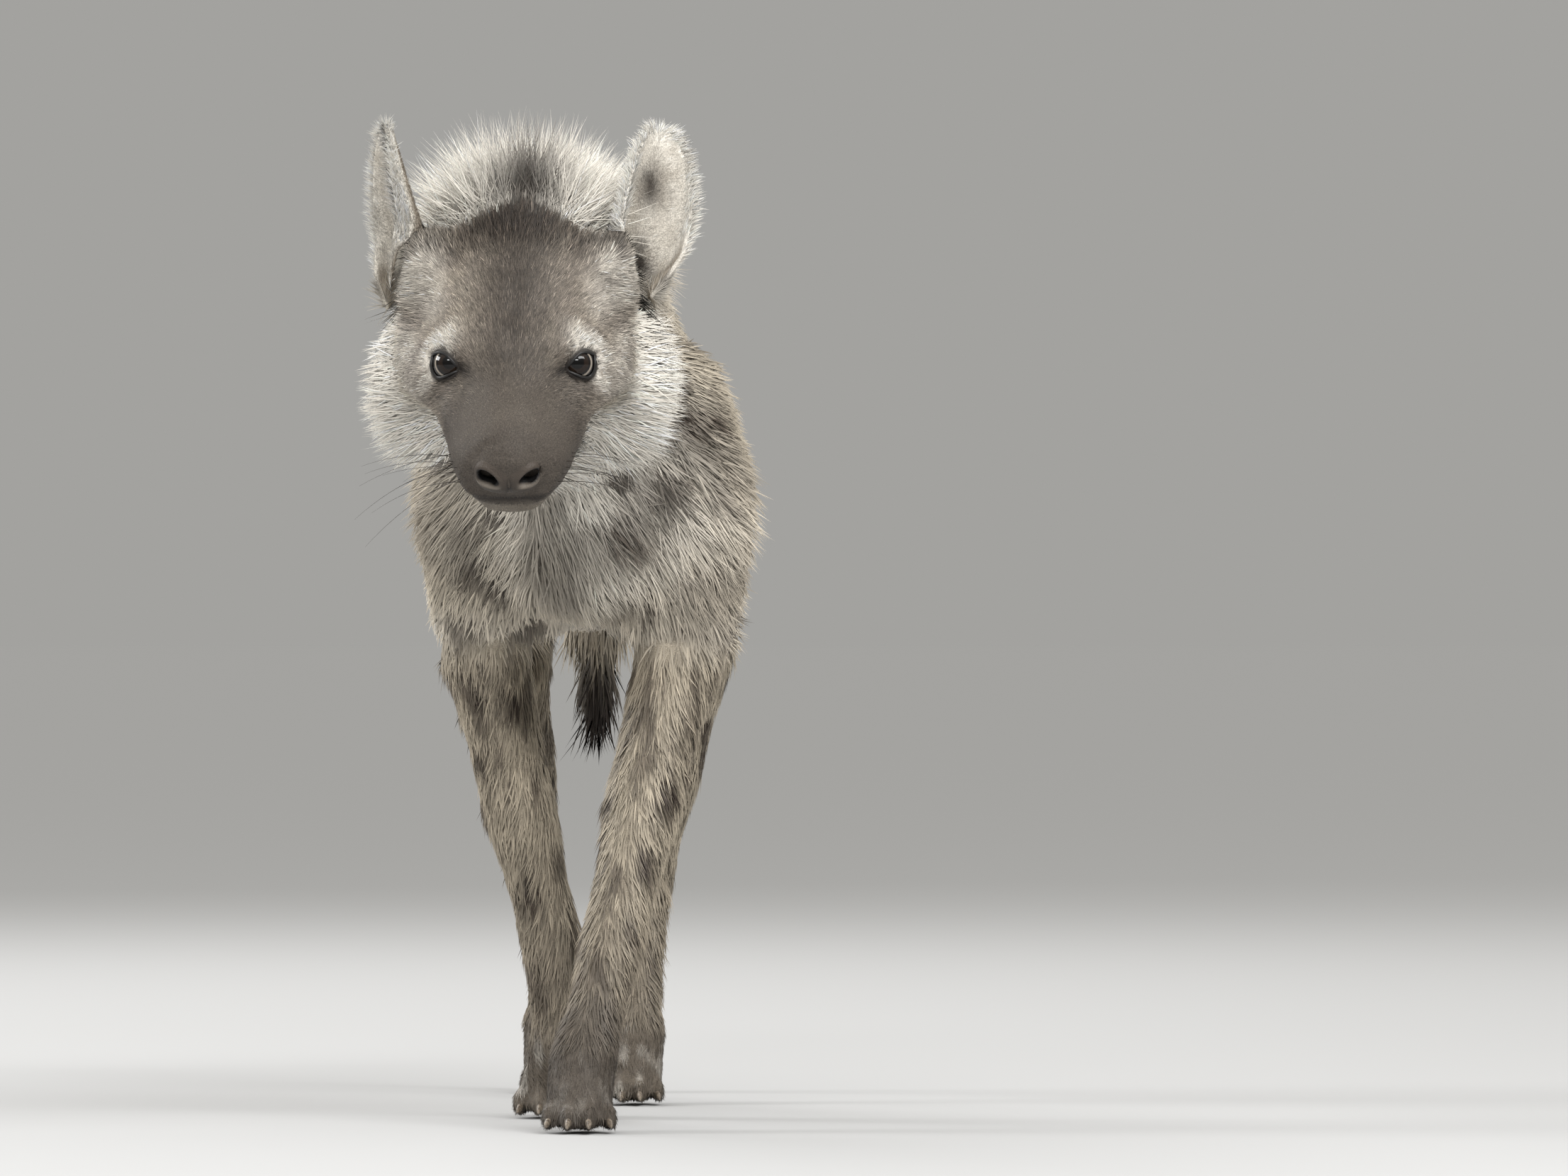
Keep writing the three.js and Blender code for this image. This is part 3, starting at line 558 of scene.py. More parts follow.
def spot_field(places, size, small, large, seed):
    """1 in the middle of round spots, one for each block of that size, and 0 between them."""
    cells = np.floor(places / size).astype(np.int64)
    strongest = np.zeros(len(places))
    for step in np.ndindex(3, 3, 3):
        cell = cells + np.array(step) - 1
        middle = (cell + scattered(cell, seed)) * size
        radius = mixed(small, large, scatter_hash(*cell.T, seed + 3))
        away = np.linalg.norm((places - middle) * [1, 0.85, 1], axis=1)
        strongest = np.maximum(strongest, 1 - ease(0.62, 1.15, away / radius))
    return strongest


def tint(code):
    """A linear colour that can be mixed."""
    return np.array(linear(code))


TINTS = {
    "buff": tint("#c4b9a6"),
    "greyer": tint("#a09687"),
    "pale": tint("#f1ebe0"),
    "spot": tint("#3a312a"),
    "mask": tint("#7d746a"),
    "dark": tint("#342d27"),
    "muzzle": tint("#4f4841"),
    "lip": tint("#221d1a"),
    "leg": tint("#a39886"),
    "foot": tint("#574e45"),
    "brush": tint("#2f2823"),
}
EARS = {  # foot, bend and tip of each ear's middle line in mm on the body, and where its cup faces
    "left": ([30, -496, 668], [64, -524, 728], [66, -496, 817], [0.48, -0.87, -0.1]),
    "right": ([-120, -494, 668], [-150, -524, 728], [-158, -494, 819], [-0.95, -0.3, 0]),
}


def ear_place(points, side):
    """Height up the ear from its foot (0) to its tip (1), place across it in half widths, and the
    directions of its front, of its rise and across it."""
    foot, bend, tip, front = (np.array(value, float) for value in EARS[side])
    rise = (tip - foot) / np.linalg.norm(tip - foot)
    front = front - rise * np.dot(front, rise)
    front /= np.linalg.norm(front)
    across = np.cross(front, rise)
    steps = np.linspace(0, 1, 41)
    share = steps[:, None]
    line = foot * (1 - share) ** 2 + bend * 2 * share * (1 - share) + tip * share**2
    arm = body_place(points)[:, None] - line
    nearest = np.argmin(np.abs(arm @ rise), axis=1)
    high = steps[nearest]
    half = np.interp(high, (0, 0.2, 0.46, 0.68, 0.88, 1), (20, 25, 32.5, 30, 23, 9))
    return high, arm[np.arange(len(points)), nearest] @ across / half, front, rise, across


def tinted(colours, layers):
    """Colours with tints laid over them in turn, each given with how much of it."""
    for name, amount in layers:
        colours = mixed(colours, TINTS[name], np.clip(amount, 0, 1)[:, None])
    return colours


def pelt_tints(points, normals, on_ear):
    """The colour of skin and hair that is rooted at each point."""
    body = body_place(points)
    x, y, z = body.T
    ahead, aside, above = head_place(points).T
    side_of_head = np.abs(aside)
    share = where_on_body(points)
    neck, trunk, mane, ruff = share["neck"], share["trunk"], share["mane"], share["ruff"]
    broad, fine = mottle(body, 55, 1), mottle(body, 11, 2)
    warped = body + 14 * (np.stack([mottle(body, 24, seed) for seed in (5, 6, 7)], 1) - 0.5)

    pale_front = neck * ease(-230, -400, y) + ruff
    spots = spot_field(warped, 54, 11, 20, 11)
    spotted = neck * ease(-470, -380, y) + trunk + 0.6 * share["crest"]
    dusk = mottle(warped * [1, 1, 0.7], 27, 9)
    behind_ruff = hump(np.abs(x + 10), 97, 32) * hump(z, 596, 52) * (neck + trunk)
    behind_ruff *= ease(-490, -440, y) * ease(-230, -330, y)
    leg_spots = spot_field(warped * [1, 1, 0.8], 40, 8, 15, 23)
    streaks = mottle(body * [1, 1, 0.22], 7, 31)
    legs = share["leg"] + 0.4 * share["paw"]
    leg_marks = 0.8 * leg_spots * ease(120, 260, z) + 0.7 * ease(0.5, 0.8, streaks)
    pale_top = mane * (0.97 - 0.5 * ease(-440, -260, y)) + share["crown"] + 0.25 * share["crest"]
    on_top = mane + share["crown"] + (neck + ruff) * ease(650, 680, z)
    wedge = hump(aside, 4, 26) * ease(-200, -145, ahead) * on_top
    sides_of_mane = mane * ease(45, 85, side_of_head) * ease(-210, -150, ahead)
    coat = tinted(
        TINTS["buff"],
        [
            ("greyer", 0.75 * broad + 0.35 * (fine - 0.5)),
            ("pale", pale_front * (0.78 + 0.3 * fine)),
            ("pale", 0.4 * ease(470, 400, z) * trunk),
            ("spot", 0.86 * spots * spotted * (0.75 + 0.5 * fine)),
            ("foot", 0.6 * neck * ease(-450, -340, y) * ease(0.42, 0.68, dusk)),
            ("spot", 0.9 * behind_ruff * ease(0.2, 0.45, dusk)),
            ("leg", 0.8 * legs),
            ("spot", legs * leg_marks),
            ("foot", 0.5 * share["leg"] * ease(240, 90, z) + 0.85 * share["paw"]),
            ("pale", 0.3 * share["paw"] * ease(0.55, 0.8, streaks)),
            ("pale", pale_top),
            ("dark", 0.95 * wedge * ease(-0.4, 0.2, fine)),
            ("greyer", 0.5 * sides_of_mane),
            ("brush", share["tail"] * ease(460, 380, z + 30 * fine)),
        ],
    )

    # The mask ends at the ruff: behind the cheekbones, above the jaw, and at the foot of the mane.
    wobble = 9 * (mottle(body, 17, 41) - 0.5) + 7 * (fine - 0.5)
    foot_of_mane = -111 - 21 * hump(aside, 4, 19)
    on_mask = ease(-8, 6, inside_mask(points) + wobble) * ease(-7, 7, ahead - foot_of_mane + wobble)
    middle = hump(np.maximum(np.abs(aside - 1), 10), 10, 24) * ease(96, 60, ahead)
    streak = hump(aside, 1, mixed(14, 8, ease(-100, 10, ahead)))
    band = ease(-68, -92, ahead + 12 * (fine - 0.5)) * ease(30, 58, above)
    temple = ease(46, 74, side_of_head) * ease(-16, -50, ahead) * ease(4, 26, above) * (1 - 0.8 * band)
    cheek = ease(62, 84, side_of_head) * ease(12, -8, above)
    face = tinted(
        TINTS["mask"],
        [
            ("buff", 0.5 * (fine - 0.4) + 0.25 * (broad - 0.5)),
            ("dark", 0.72 * middle * (0.7 + 0.6 * fine)),
            ("dark", 0.5 * streak * ease(26, -10, ahead) * (0.6 + 0.8 * fine)),
            ("dark", band * (0.68 + 0.4 * hump(aside, 0, 30))),
            ("pale", 0.36 * temple * (0.6 + 0.8 * fine)),
            ("pale", 0.25 * cheek * (0.5 + fine)),
            ("muzzle", ease(4, 40, ahead + 0.25 * (30 - side_of_head)) * mixed(1, 0.6, middle)),
        ],
    )
    for side in EYE_CENTRES:
        gap, out, across, up = from_opening(points, side)
        about = hump(np.maximum(gap, 6), 6, 13) * (out > -6)
        below_lid = about * ease(3, -5, up) * ease(-2, 10, across) * ease(17, 10, gap)
        beneath = hump(gap, 9, 9) * ease(-2, -10, up) * ease(12, -4, across) * (out > -6)
        duct = hump(across, -19, 9) * hump(up, 1, 5.5) * (out > -4)
        face = tinted(
            face,
            [
                ("pale", 0.72 * about * ease(-2, 6, up) * ease(-10, 8, across + 2)),
                ("pale", 0.55 * below_lid),
                ("dark", 0.45 * beneath),
                ("lip", 0.95 * np.maximum(duct, ease(4.4, 2.4, gap) * (out > 0))),
            ],
        )
    on_lips = ease(-4, 20, ahead) * (ahead < 130) * ease(470, 490, z)
    on_lips = on_lips * ease(12, 18, side_of_head + 2 * np.maximum(0, ahead - 70))
    coat = tinted(
        mixed(coat, face, on_mask[:, None]),
        [
            ("lip", 0.85 * ease(7, 2, from_mouth(points)) * on_lips),
            ("muzzle", 0.75 * ease(40, 60, ahead) * ease(-68, -76, above)),
            # Painted shade: the hide in the nostrils is painted as dark as the lips, for their depth.
            ("lip", ease(1.25, 1.05, nostril_depth(points))),
        ],
    )

    # An ear is grey behind and paler in its cup, which is painted dark in its depth as painted shade
    # and has a dark patch near the tip, and its rim is pale.
    for side in EARS:
        mine = on_ear == side
        if not mine.any():
            continue
        high, across, front, _, _ = ear_place(points[mine], side)
        towards_head = across if side == "left" else -across
        in_cup = ease(-0.15, 0.3, normals[mine] @ front)
        rim = np.maximum(ease(0.74, 0.95, np.abs(across)), ease(0.9, 0.98, high))
        patch = hump(high, 0.72, 0.12) * hump(towards_head, 0.04, 0.5)
        # Painted shade: the deep well of the cup near its foot is darkened for the shade that falls in it.
        painted_shade_in_well = hump(high - 0.24 * towards_head, 0.39, 0.1) * hump(towards_head, -0.25, 0.45)
        edge = hump(towards_head, 0.85, 0.2) * ease(0.75, 0.4, high)
        dark_marks_and_painted_shade = (patch + painted_shade_in_well) * (0.75 + 0.5 * fine[mine]) + 0.35 * edge
        back = tinted(TINTS["greyer"], [("mask", 0.6 * fine[mine])])
        cup = tinted(TINTS["greyer"], [("pale", 0.3 + 0.5 * fine[mine]), ("dark", dark_marks_and_painted_shade)])
        hair = mixed(back, cup, in_cup[:, None])
        coat[mine] = tinted(hair, [("pale", rim * mixed(1, 0.4, ease(0.3, 0.1, high)))])
    return coat


places, hide_triangles = triangles_of(hide_mesh)
places = places.astype(float)
facing = facing_of(hide_mesh)
on_ear = np.full(len(places), "", dtype=object)
for side, (start, stop) in ear_spans.items():
    on_ear[start:stop] = side
hide_tints = pelt_tints(places, facing, on_ear)


def paint(mesh, tints):
    """Stores a colour for each corner of a mesh, for its material to read."""
    layer = mesh.color_attributes.new("pelt", "FLOAT_COLOR", "POINT")
    layer.data.foreach_set("color", np.c_[tints, np.ones(len(tints))].ravel().astype(np.float32))


# The hide is painted at 0.86 of the coat's colour: painted shade for the depth of the coat that shows
# between the tufts.
paint(hide_mesh, hide_tints * 0.86)

# Tanned-looking hide, dry and dull, that shows only where the hair is shortest. Pores about 1 mm
# apart and folds of 2.4 mm break up its light and its colour.
hide_finish, hide_shader = new_material("hyena_hide")
hide_tint = add_node(hide_finish, "VertexColor", layer_name="pelt")
hide_place = add_node(hide_finish, "TexCoord").outputs["Object"]
hide_pores = add_node(hide_finish, "TexNoise", {"Vector": hide_place, "Scale": 900.0, "Detail": 3.0})
hide_folds = add_node(hide_finish, "TexVoronoi", {"Vector": hide_place, "Scale": 420.0})
hide_parts = {0: hide_pores.outputs["Fac"], 1: hide_folds.outputs["Distance"]}
hide_relief = add_node(hide_finish, "Math", hide_parts, operation="ADD").outputs["Value"]
hide_bump = add_node(hide_finish, "Bump", {"Height": hide_relief, "Strength": 0.35, "Distance": 0.0006})
HIDE_GRAIN = {"From Min": 0.3, "From Max": 0.7, "To Min": 0.6, "To Max": 1.35}
hide_grain = add_node(hide_finish, "MapRange", {"Value": hide_pores.outputs["Fac"], **HIDE_GRAIN})
hide_mix = {0: hide_tint.outputs["Color"], "Scale": hide_grain.outputs["Result"]}
hide_colour = add_node(hide_finish, "VectorMath", hide_mix, operation="SCALE")
hide_look = {"Base Color": hide_colour.outputs["Vector"], "Normal": hide_bump.outputs["Normal"]}
feed(hide_finish, hide_shader, {**hide_look, "Roughness": 0.7, "Specular IOR Level": 0.3})
hide_mesh.materials.append(hide_finish)
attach(skin, "root")
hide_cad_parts(*[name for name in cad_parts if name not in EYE_NODES and name != "nose"])

# The coat
# Tufts of a few hairs each, rooted in the hide all over the body. A tuft is a thin three-sided
# blade that tapers to a point and bends over with the lie of the coat; longest on the mane, the
# ruff and the tail's brush, and shortest on the muzzle. Neighbouring tips are drawn into locks.
HAIR = {  # length and width in mm, how steeply it leaves the skin, mm between roots, mm across a lock
    "muzzle": (4.0, 0.55, 0.22, 1.2, 3),
    "face": (8.5, 0.66, 0.3, 1.34, 5),
    "crown": (15, 0.8, 0.5, 1.7, 7),
    "ruff": (44, 1.1, 0.34, 2.1, 11),
    "paw": (10, 1.0, 0.18, 2.0, 8),
    "leg": (24, 1.5, 0.22, 3.2, 11),
    "tail": (58, 1.8, 0.22, 2.7, 16),
    "mane": (60, 0.8, 0.9, 1.85, 9),
    "neck": (44, 1.4, 0.34, 2.75, 14),
    "crest": (50, 1.9, 0.36, 3.3, 16),
    "trunk": (32, 2.0, 0.22, 4.15, 15),
}
EAR_HAIR = (6.0, 0.6, 0.3, 1.4, 4)
EAR_FRINGE = (13, 0.7, 0.7, 1.2, 6)
EAR_FOOT = (17, 0.9, 0.4, 1.6, 7)
ROUND_EAR_FOOT = (15, 0.8, 0.45, 1.5)

corner_places = places[hide_triangles]
middles = corner_places.mean(axis=1)
edge_one, edge_two = (corner_places[:, k] - corner_places[:, 0] for k in (1, 2))
areas = np.linalg.norm(np.cross(edge_one, edge_two), axis=1)
areas *= 0.5e6  # square millimetres
ear_of_triangle = on_ear[hide_triangles[:, 0]]


def hair_values(points, ears):
    """Length, width, steepness, spacing and lock size of the hair that is rooted at each point."""
    shares = where_on_body(points)
    values = sum(share[:, None] * np.array(HAIR[region]) for region, share in shares.items())
    for side in EARS:
        mine = ears == side
        if mine.any():
            high, across, _, _, _ = ear_place(points[mine], side)
            fringe = np.maximum(ease(0.8, 0.95, np.abs(across)), ease(0.93, 0.99, high))[:, None]
            foot = ease(0.3, 0.16, high)[:, None]
            hair = mixed(np.array(EAR_HAIR), np.array(EAR_FRINGE), fringe)
            values[mine] = mixed(hair, np.array(EAR_FOOT), foot)
        near_foot = np.linalg.norm(body_place(points) - EARS[side][0], axis=1)
        near_foot = ease(66, 44, near_foot) * (ears == "") * shares["face"]
        values[:, :4] = mixed(values[:, :4], np.array(ROUND_EAR_FOOT), near_foot[:, None])
    return values


def bare(points, ears):
    """True where no hair grows: on the eyes, the nose pad and the soles."""
    ahead, aside, above = head_place(points).T
    nothing = (ahead > 90) & (np.abs(aside) < 26) & (above > -63) & (above < -26)
    for side in EYE_CENTRES:
        gap, out, _, _ = from_opening(points, side)
        nothing |= (gap < 2.4) & (out > 0) & (out < 30)
    nothing |= body_place(points)[:, 2] < 3.5
    return nothing & (ears == "")


rng = np.random.default_rng(52)
per_triangle = areas / hair_values(middles, ear_of_triangle)[:, 3] ** 2
per_triangle[bare(middles, ear_of_triangle)] = 0
running = np.cumsum(per_triangle)
count = int(running[-1])
chosen = np.searchsorted(running, (np.arange(count) + rng.random(count)) * running[-1] / count)
chosen = np.minimum(chosen, len(hide_triangles) - 1)
weights = rng.random((count, 2))
folded = weights.sum(axis=1) > 1
weights[folded] = 1 - weights[folded]
weights = np.c_[1 - weights.sum(axis=1), weights]
roots = np.einsum("nk,nkc->nc", weights, corner_places[chosen])
upright = np.einsum("nk,nkc->nc", weights, facing[hide_triangles[chosen]])
upright /= np.linalg.norm(upright, axis=1)[:, None]
root_ears = ear_of_triangle[chosen]
keep = ~bare(roots, root_ears)
grown = (roots, upright, root_ears, chosen, weights)
roots, upright, root_ears, chosen, weights = (part[keep] for part in grown)
bake_places = np.empty(len(hide_mesh.loops) * 2, np.float32)
hide_mesh.uv_layers["OFBake"].uv.foreach_get("vector", bake_places)
bake_places = bake_places.reshape(-1, 3, 2)
root_bake = np.einsum("nk,nkc->nc", weights, bake_places[chosen])


def unit(vectors):
    """Rows of vectors, each made one long."""
    return vectors / np.maximum(np.linalg.norm(vectors, axis=1), 1e-9)[:, None]


def lie_of_coat(points, normals, ears):
    """The direction along the skin in which the hair lies at each point."""
    x, y, z = body_place(points).T
    ahead, aside, above = head_place(points).T
    shares = where_on_body(points)
    out = np.sign(aside)[:, None] * head_left
    middle_of_leg = np.where(x > 0, 1, -1)
    spread = np.clip(np.abs(aside) / 55, 0, 1)[:, None]
    down_the_lip = 0.25 * ease(10, 30, np.abs(aside))[:, None]
    ways = {
        "muzzle": -head_ahead + 0.35 * spread * out - down_the_lip * head_up,
        "face": mixed(
            -head_ahead + 0.5 * spread * out + 0.1 * head_up,
            -0.55 * head_ahead + 0.75 * out - 0.5 * head_up,
            np.maximum(ease(8, -14, above), 0.7 * ease(50, 80, np.abs(aside)))[:, None],
        ),
        "crown": -head_ahead + 0.35 * spread * out + 0.5 * head_up,
        "ruff": -0.8 * head_ahead + 0.7 * out - 0.6 * head_up,
        "paw": np.array([0, -0.7, -0.6]) + 0 * points,
        "leg": np.c_[0.12 * middle_of_leg, 0.15 + 0 * x, -1 + 0 * x],
        "tail": np.array([0, 0.2, -1]) + 0 * points,
        "mane": np.c_[0.2 * np.clip((x + 46) / 50, -1, 1), 0.8 + 0 * x, 0.2 + 0 * x],
        "neck": np.c_[0.45 * np.sign(x + 40), 0.8 + 0 * x, -0.75 + 0 * x],
        "crest": np.array([0, 1, -0.1]) + 0 * points,
        "trunk": np.c_[0 * x, 1 + 0 * x, -0.42 - 0.3 * ease(-150, -330, y)],
    }
    way = sum(shares[region][:, None] * unit(ways[region]) for region in ways)
    for side in EARS:
        mine = ears == side
        if mine.any():
            _, across, _, up, sideways = ear_place(points[mine], side)
            way[mine] = up * 0.55 + sideways * (np.sign(across) * ease(0, 0.5, np.abs(across)))[:, None]
    way = way - normals * np.sum(way * normals, axis=1)[:, None]
    return unit(way)


def turned(vectors, axes, angles):
    """Vectors turned about unit axes by angles."""
    c, s = np.cos(angles)[:, None], np.sin(angles)[:, None]
    along = axes * np.sum(axes * vectors, axis=1)[:, None]
    return vectors * c + np.cross(axes, vectors) * s + along * (1 - c)


def locks_of(places, sizes, kinds):
    """The number of the lock that each root belongs to: the nearest of scattered lock middles."""
    cells = np.floor(places / sizes[:, None]).astype(np.int64)
    least = np.full(len(places), np.inf)
    name = np.zeros(len(places), np.int64)
    for step in np.ndindex(3, 3, 3):
        cell = cells + np.array(step) - 1
        middle = (cell + scattered(cell, 90)) * sizes[:, None]
        away = np.linalg.norm(places - middle, axis=1)
        nearer = away < least
        least[nearer] = away[nearer]
        name[nearer] = (cell[nearer] @ [73856093, 19349663, 83492791]) * 16 + kinds[nearer]
    return np.unique(name, return_inverse=True)[1]


def drawn_together(tips, locks, strength, limits):
    """Tips moved part of the way, and no farther than the limits, to the middle of their lock's tips."""
    number = np.bincount(locks)[:, None]
    middle = np.stack([np.bincount(locks, tips[:, k]) for k in range(3)], 1) / number
    move = (middle[locks] - tips) * strength[:, None]
    far = np.linalg.norm(move, axis=1)
    return tips + move * np.minimum(1, limits / np.maximum(far, 1e-9))[:, None]


def blades(starts, bends, tips, upright, width, stations):
    """The corners of tapered blades along a bent line, rings of three at the stations and then the
    tip, with a soft normal for each that leans to the skin's own."""
    corners, normals = [], []
    for at, breadth in stations:
        centre = starts * (1 - at) ** 2 + bends * (2 * at * (1 - at)) + tips * at**2
        along = unit((bends - starts) * (1 - at) + (tips - bends) * at)
        sideways = unit(np.cross(along, upright))
        outward = np.cross(sideways, along)
        soft = 0.7 * outward + 0.5 * upright
        if breadth == 0:
            corners.append(centre[:, None])
            normals.append(unit(soft)[:, None])
            continue
        half = (width * breadth / 2)[:, None]
        ring = [centre - sideways * half, centre + sideways * half, centre + outward * half * 0.9]
        corners.append(np.stack(ring, 1))
        normals.append(np.stack([unit(soft - 0.4 * sideways), unit(soft + 0.4 * sideways), unit(soft)], 1))
    return np.concatenate(corners, axis=1), np.concatenate(normals, axis=1)


def blade_faces(rings):
    """The triangles of one blade, for that many rings of three corners and a tip."""
    faces = [(0, 1, 2)]
    for ring in range(rings - 1):
        for k in range(3):
            a, b = 3 * ring + k, 3 * ring + (k + 1) % 3
            faces += [(a, a + 3, b + 3), (a, b + 3, b)]
    last = 3 * (rings - 1)
    return np.array(faces + [(last + k, 3 * rings, last + (k + 1) % 3) for k in range(3)])


# Coarse dry hair: little gloss, but each tuft shows as a bundle, because it is streaked fourteen
# times across its 1 to 2 mm, which is about 0.1 mm to a hair, and twice along its length.
hair_finish, hair_shader = new_material("hyena_hair")
hair_tint = add_node(hair_finish, "VertexColor", layer_name="pelt")
hair_strands = add_node(hair_finish, "UVMap", uv_map="strand")
strand_stretch = {"Vector": hair_strands.outputs["UV"], "Scale": (7.0, 1.2, 1.0)}
strand_place = add_node(hair_finish, "Mapping", strand_stretch).outputs["Vector"]
strand_noise = add_node(hair_finish, "TexNoise", {"Vector": strand_place, "Scale": 2.0}).outputs["Fac"]
strand_shade = add_node(hair_finish, "MapRange", {"Value": strand_noise, "To Min": 0.72, "To Max": 1.22})
strand_mix = {0: hair_tint.outputs["Color"], "Scale": strand_shade.outputs["Result"]}
strand_colour = add_node(hair_finish, "VectorMath", strand_mix, operation="SCALE")
strand_bump = add_node(hair_finish, "Bump", {"Height": strand_noise, "Strength": 0.3, "Distance": 0.0003})
hair_look = {"Base Color": strand_colour.outputs["Vector"], "Normal": strand_bump.outputs["Normal"]}
feed(hair_finish, hair_shader, {**hair_look, "Roughness": 0.5, "Specular IOR Level": 0.28})


def coat_piece(name, corners, normals, rings, tints, bake):
    """One mesh of many blades, with their colours and the two maps, from root to tip."""
    number, each = corners.shape[:2]
    faces = blade_faces(rings)
    mesh = bpy.data.meshes.new(name)
    index = (np.arange(number)[:, None, None] * each + faces).reshape(-1)
    mesh.vertices.add(number * each)
    mesh.vertices.foreach_set("co", corners.reshape(-1).astype(np.float32))
    mesh.loops.add(len(index))
    mesh.loops.foreach_set("vertex_index", index.astype(np.int32))
    mesh.polygons.add(len(index) // 3)
    mesh.polygons.foreach_set("loop_start", np.arange(0, len(index), 3, dtype=np.int32))
    mesh.update(calc_edges=True)
    mesh.shade_smooth()
    mesh.normals_split_custom_set_from_vertices(normals.reshape(-1, 3))
    along = np.array([k // 3 / rings for k in range(each - 1)] + [1.0])
    around = np.array([k % 3 / 2 for k in range(each - 1)] + [0.5])
    # Darker at the roots and paler at the tips: partly the hair's own darker bases and paler tips, partly
    # painted shade at the roots, where little light comes between the tufts.
    root_tone_and_painted_shade, tip_tone = (0.62 if rings == 1 else 0.78), 1.15
    tone_and_painted_shade_along = mixed(root_tone_and_painted_shade, tip_tone, along**0.8)
    paint(mesh, (tints[:, None] * tone_and_painted_shade_along[:, None]).reshape(-1, 3))
    patch = mesh.uv_layers.new(name="OFBake")
    corner_of = np.tile(faces.reshape(-1), number)
    offset = np.stack([around, along], 1)[faces.reshape(-1)] - 0.5
    patch_size = 0.003  # each tuft's patch on the map lies where its root lies on the hide's
    spread = (bake[:, None] + offset * patch_size).astype(np.float32)
    patch.uv.foreach_set("vector", spread.ravel())
    strand = mesh.uv_layers.new(name="strand")
    shift = rng.random((number, 1, 2)) * 20
    strand.uv.foreach_set("vector", (shift + offset + 0.5).astype(np.float32).ravel())
    set_up(name, mesh, hair_finish)


values = hair_values(roots, root_ears)
lie = lie_of_coat(roots, upright, root_ears)
number = len(roots)
root_shares = where_on_body(roots)
region_names = list(root_shares)
strongest = np.argmax(np.stack([root_shares[name] for name in region_names]), axis=0)
strongest[root_ears != ""] = len(region_names)
region_of = np.array([*region_names, "ear"], dtype=object)[strongest]
lock_sizes = np.array([*(HAIR[name][4] for name in region_names), EAR_HAIR[4]], float)[strongest]
length = values[:, 0] * rng.uniform(mixed(0.68, 0.5, root_shares["mane"]), 1.2) / 1000
width = values[:, 1] * rng.uniform(0.8, 1.2, number) / 1000
rise = np.clip(values[:, 2] * rng.uniform(0.6, 1.4, number), 0.05, 0.97)
way = turned(lie, upright, rng.normal(0, 1, number) * mixed(0.2, 0.9, root_shares["mane"]))
root_tints = pelt_tints(roots, upright, root_ears)
uneven = 0.14 + 0.3 * (root_shares["face"] + root_shares["crown"]) + 0.24 * root_shares["muzzle"]
root_tints = root_tints * np.exp(rng.normal(0, 1, number) * uneven)[:, None]
droop = mixed(0.55, 0.96, root_shares["mane"])
ROOT_DEPTH = 0.0008  # metres into the hide
starts = roots - upright * ROOT_DEPTH
sideways = unit(np.cross(way, upright))
steep = (rise * droop)[:, None]
tips = roots + (way * np.sqrt(1 - steep**2) + upright * steep) * length[:, None]
tips += sideways * (rng.normal(0, 0.06, number) * length)[:, None]
locks = locks_of(body_place(roots), lock_sizes, strongest)
hold = rng.uniform(0.05, 0.4, number) * mixed(1, 0.3, root_shares["mane"])
tips = drawn_together(tips, locks, hold, lock_sizes * 0.6 / 1000)
root_tints *= np.exp(rng.normal(0, 0.1, locks.max() + 1))[locks][:, None]
root_tints = np.clip(root_tints, 0.004, 0.92)
ABOVE_FLOOR = 0.0012  # metres
tips[:, 2] = np.maximum(tips[:, 2], ABOVE_FLOOR)
first_way = way * np.sqrt(1 - rise[:, None] ** 2) + upright * rise[:, None]
bends = roots + first_way * (length * 0.45)[:, None]

shading = upright.copy()
for side in EARS:
    mine = root_ears == side
    shading[mine] = unit(upright[mine] + 1.1 * ear_place(roots[mine], side)[2])

SPIKE = [(0, 1.2), (1, 0)]
SHORT = [(0, 0.9), (0.5, 0.8), (1, 0)]
LONG = [(0, 0.8), (0.34, 1), (0.7, 0.7), (1, 0)]
left_half = body_place(roots)[:, 0] > -46 * (1 - ease(-330, -215, body_place(roots)[:, 1]))
PIECES = [  # name, regions, stations, slot, and whether it is parted into a left and a right half
    ("coat_face", ("muzzle", "face"), SPIKE, "pelt", True),
    ("coat_crown", ("crown",), SHORT, "pelt", False),
    ("coat_ruff", ("ruff",), SHORT, "pelt", False),
    ("coat_ears", ("ear",), SPIKE, "pelt", False),
    ("coat_mane", ("mane",), SHORT, "pelt", False),
    ("coat_crest", ("crest",), SHORT, "pelt", False),
    ("coat_neck", ("neck",), SHORT, "pelt", True),
    ("coat_trunk", ("trunk",), SHORT, "pelt", True),
    ("coat_legs", ("leg",), SHORT, "pelt", True),
    ("coat_paws", ("paw",), SPIKE, "dark_pelt", False),
    ("coat_tail", ("tail",), LONG, "pelt", False),
]
for piece_name, regions, stations, slot_name, parted in PIECES:
    in_piece = np.isin(region_of, regions)
    halves = [("", in_piece)]
    if parted:
        halves = [("_left", in_piece & left_half), ("_right", in_piece & ~left_half)]
    for ending, mine in halves:
        lines = (starts[mine], bends[mine], tips[mine], shading[mine], width[mine])
        corners, normals = blades(*lines, stations)
        rings = len(stations) - 1
        coat_piece(
            piece_name + ending, corners, normals, rings, root_tints[mine], root_bake[mine]
        )


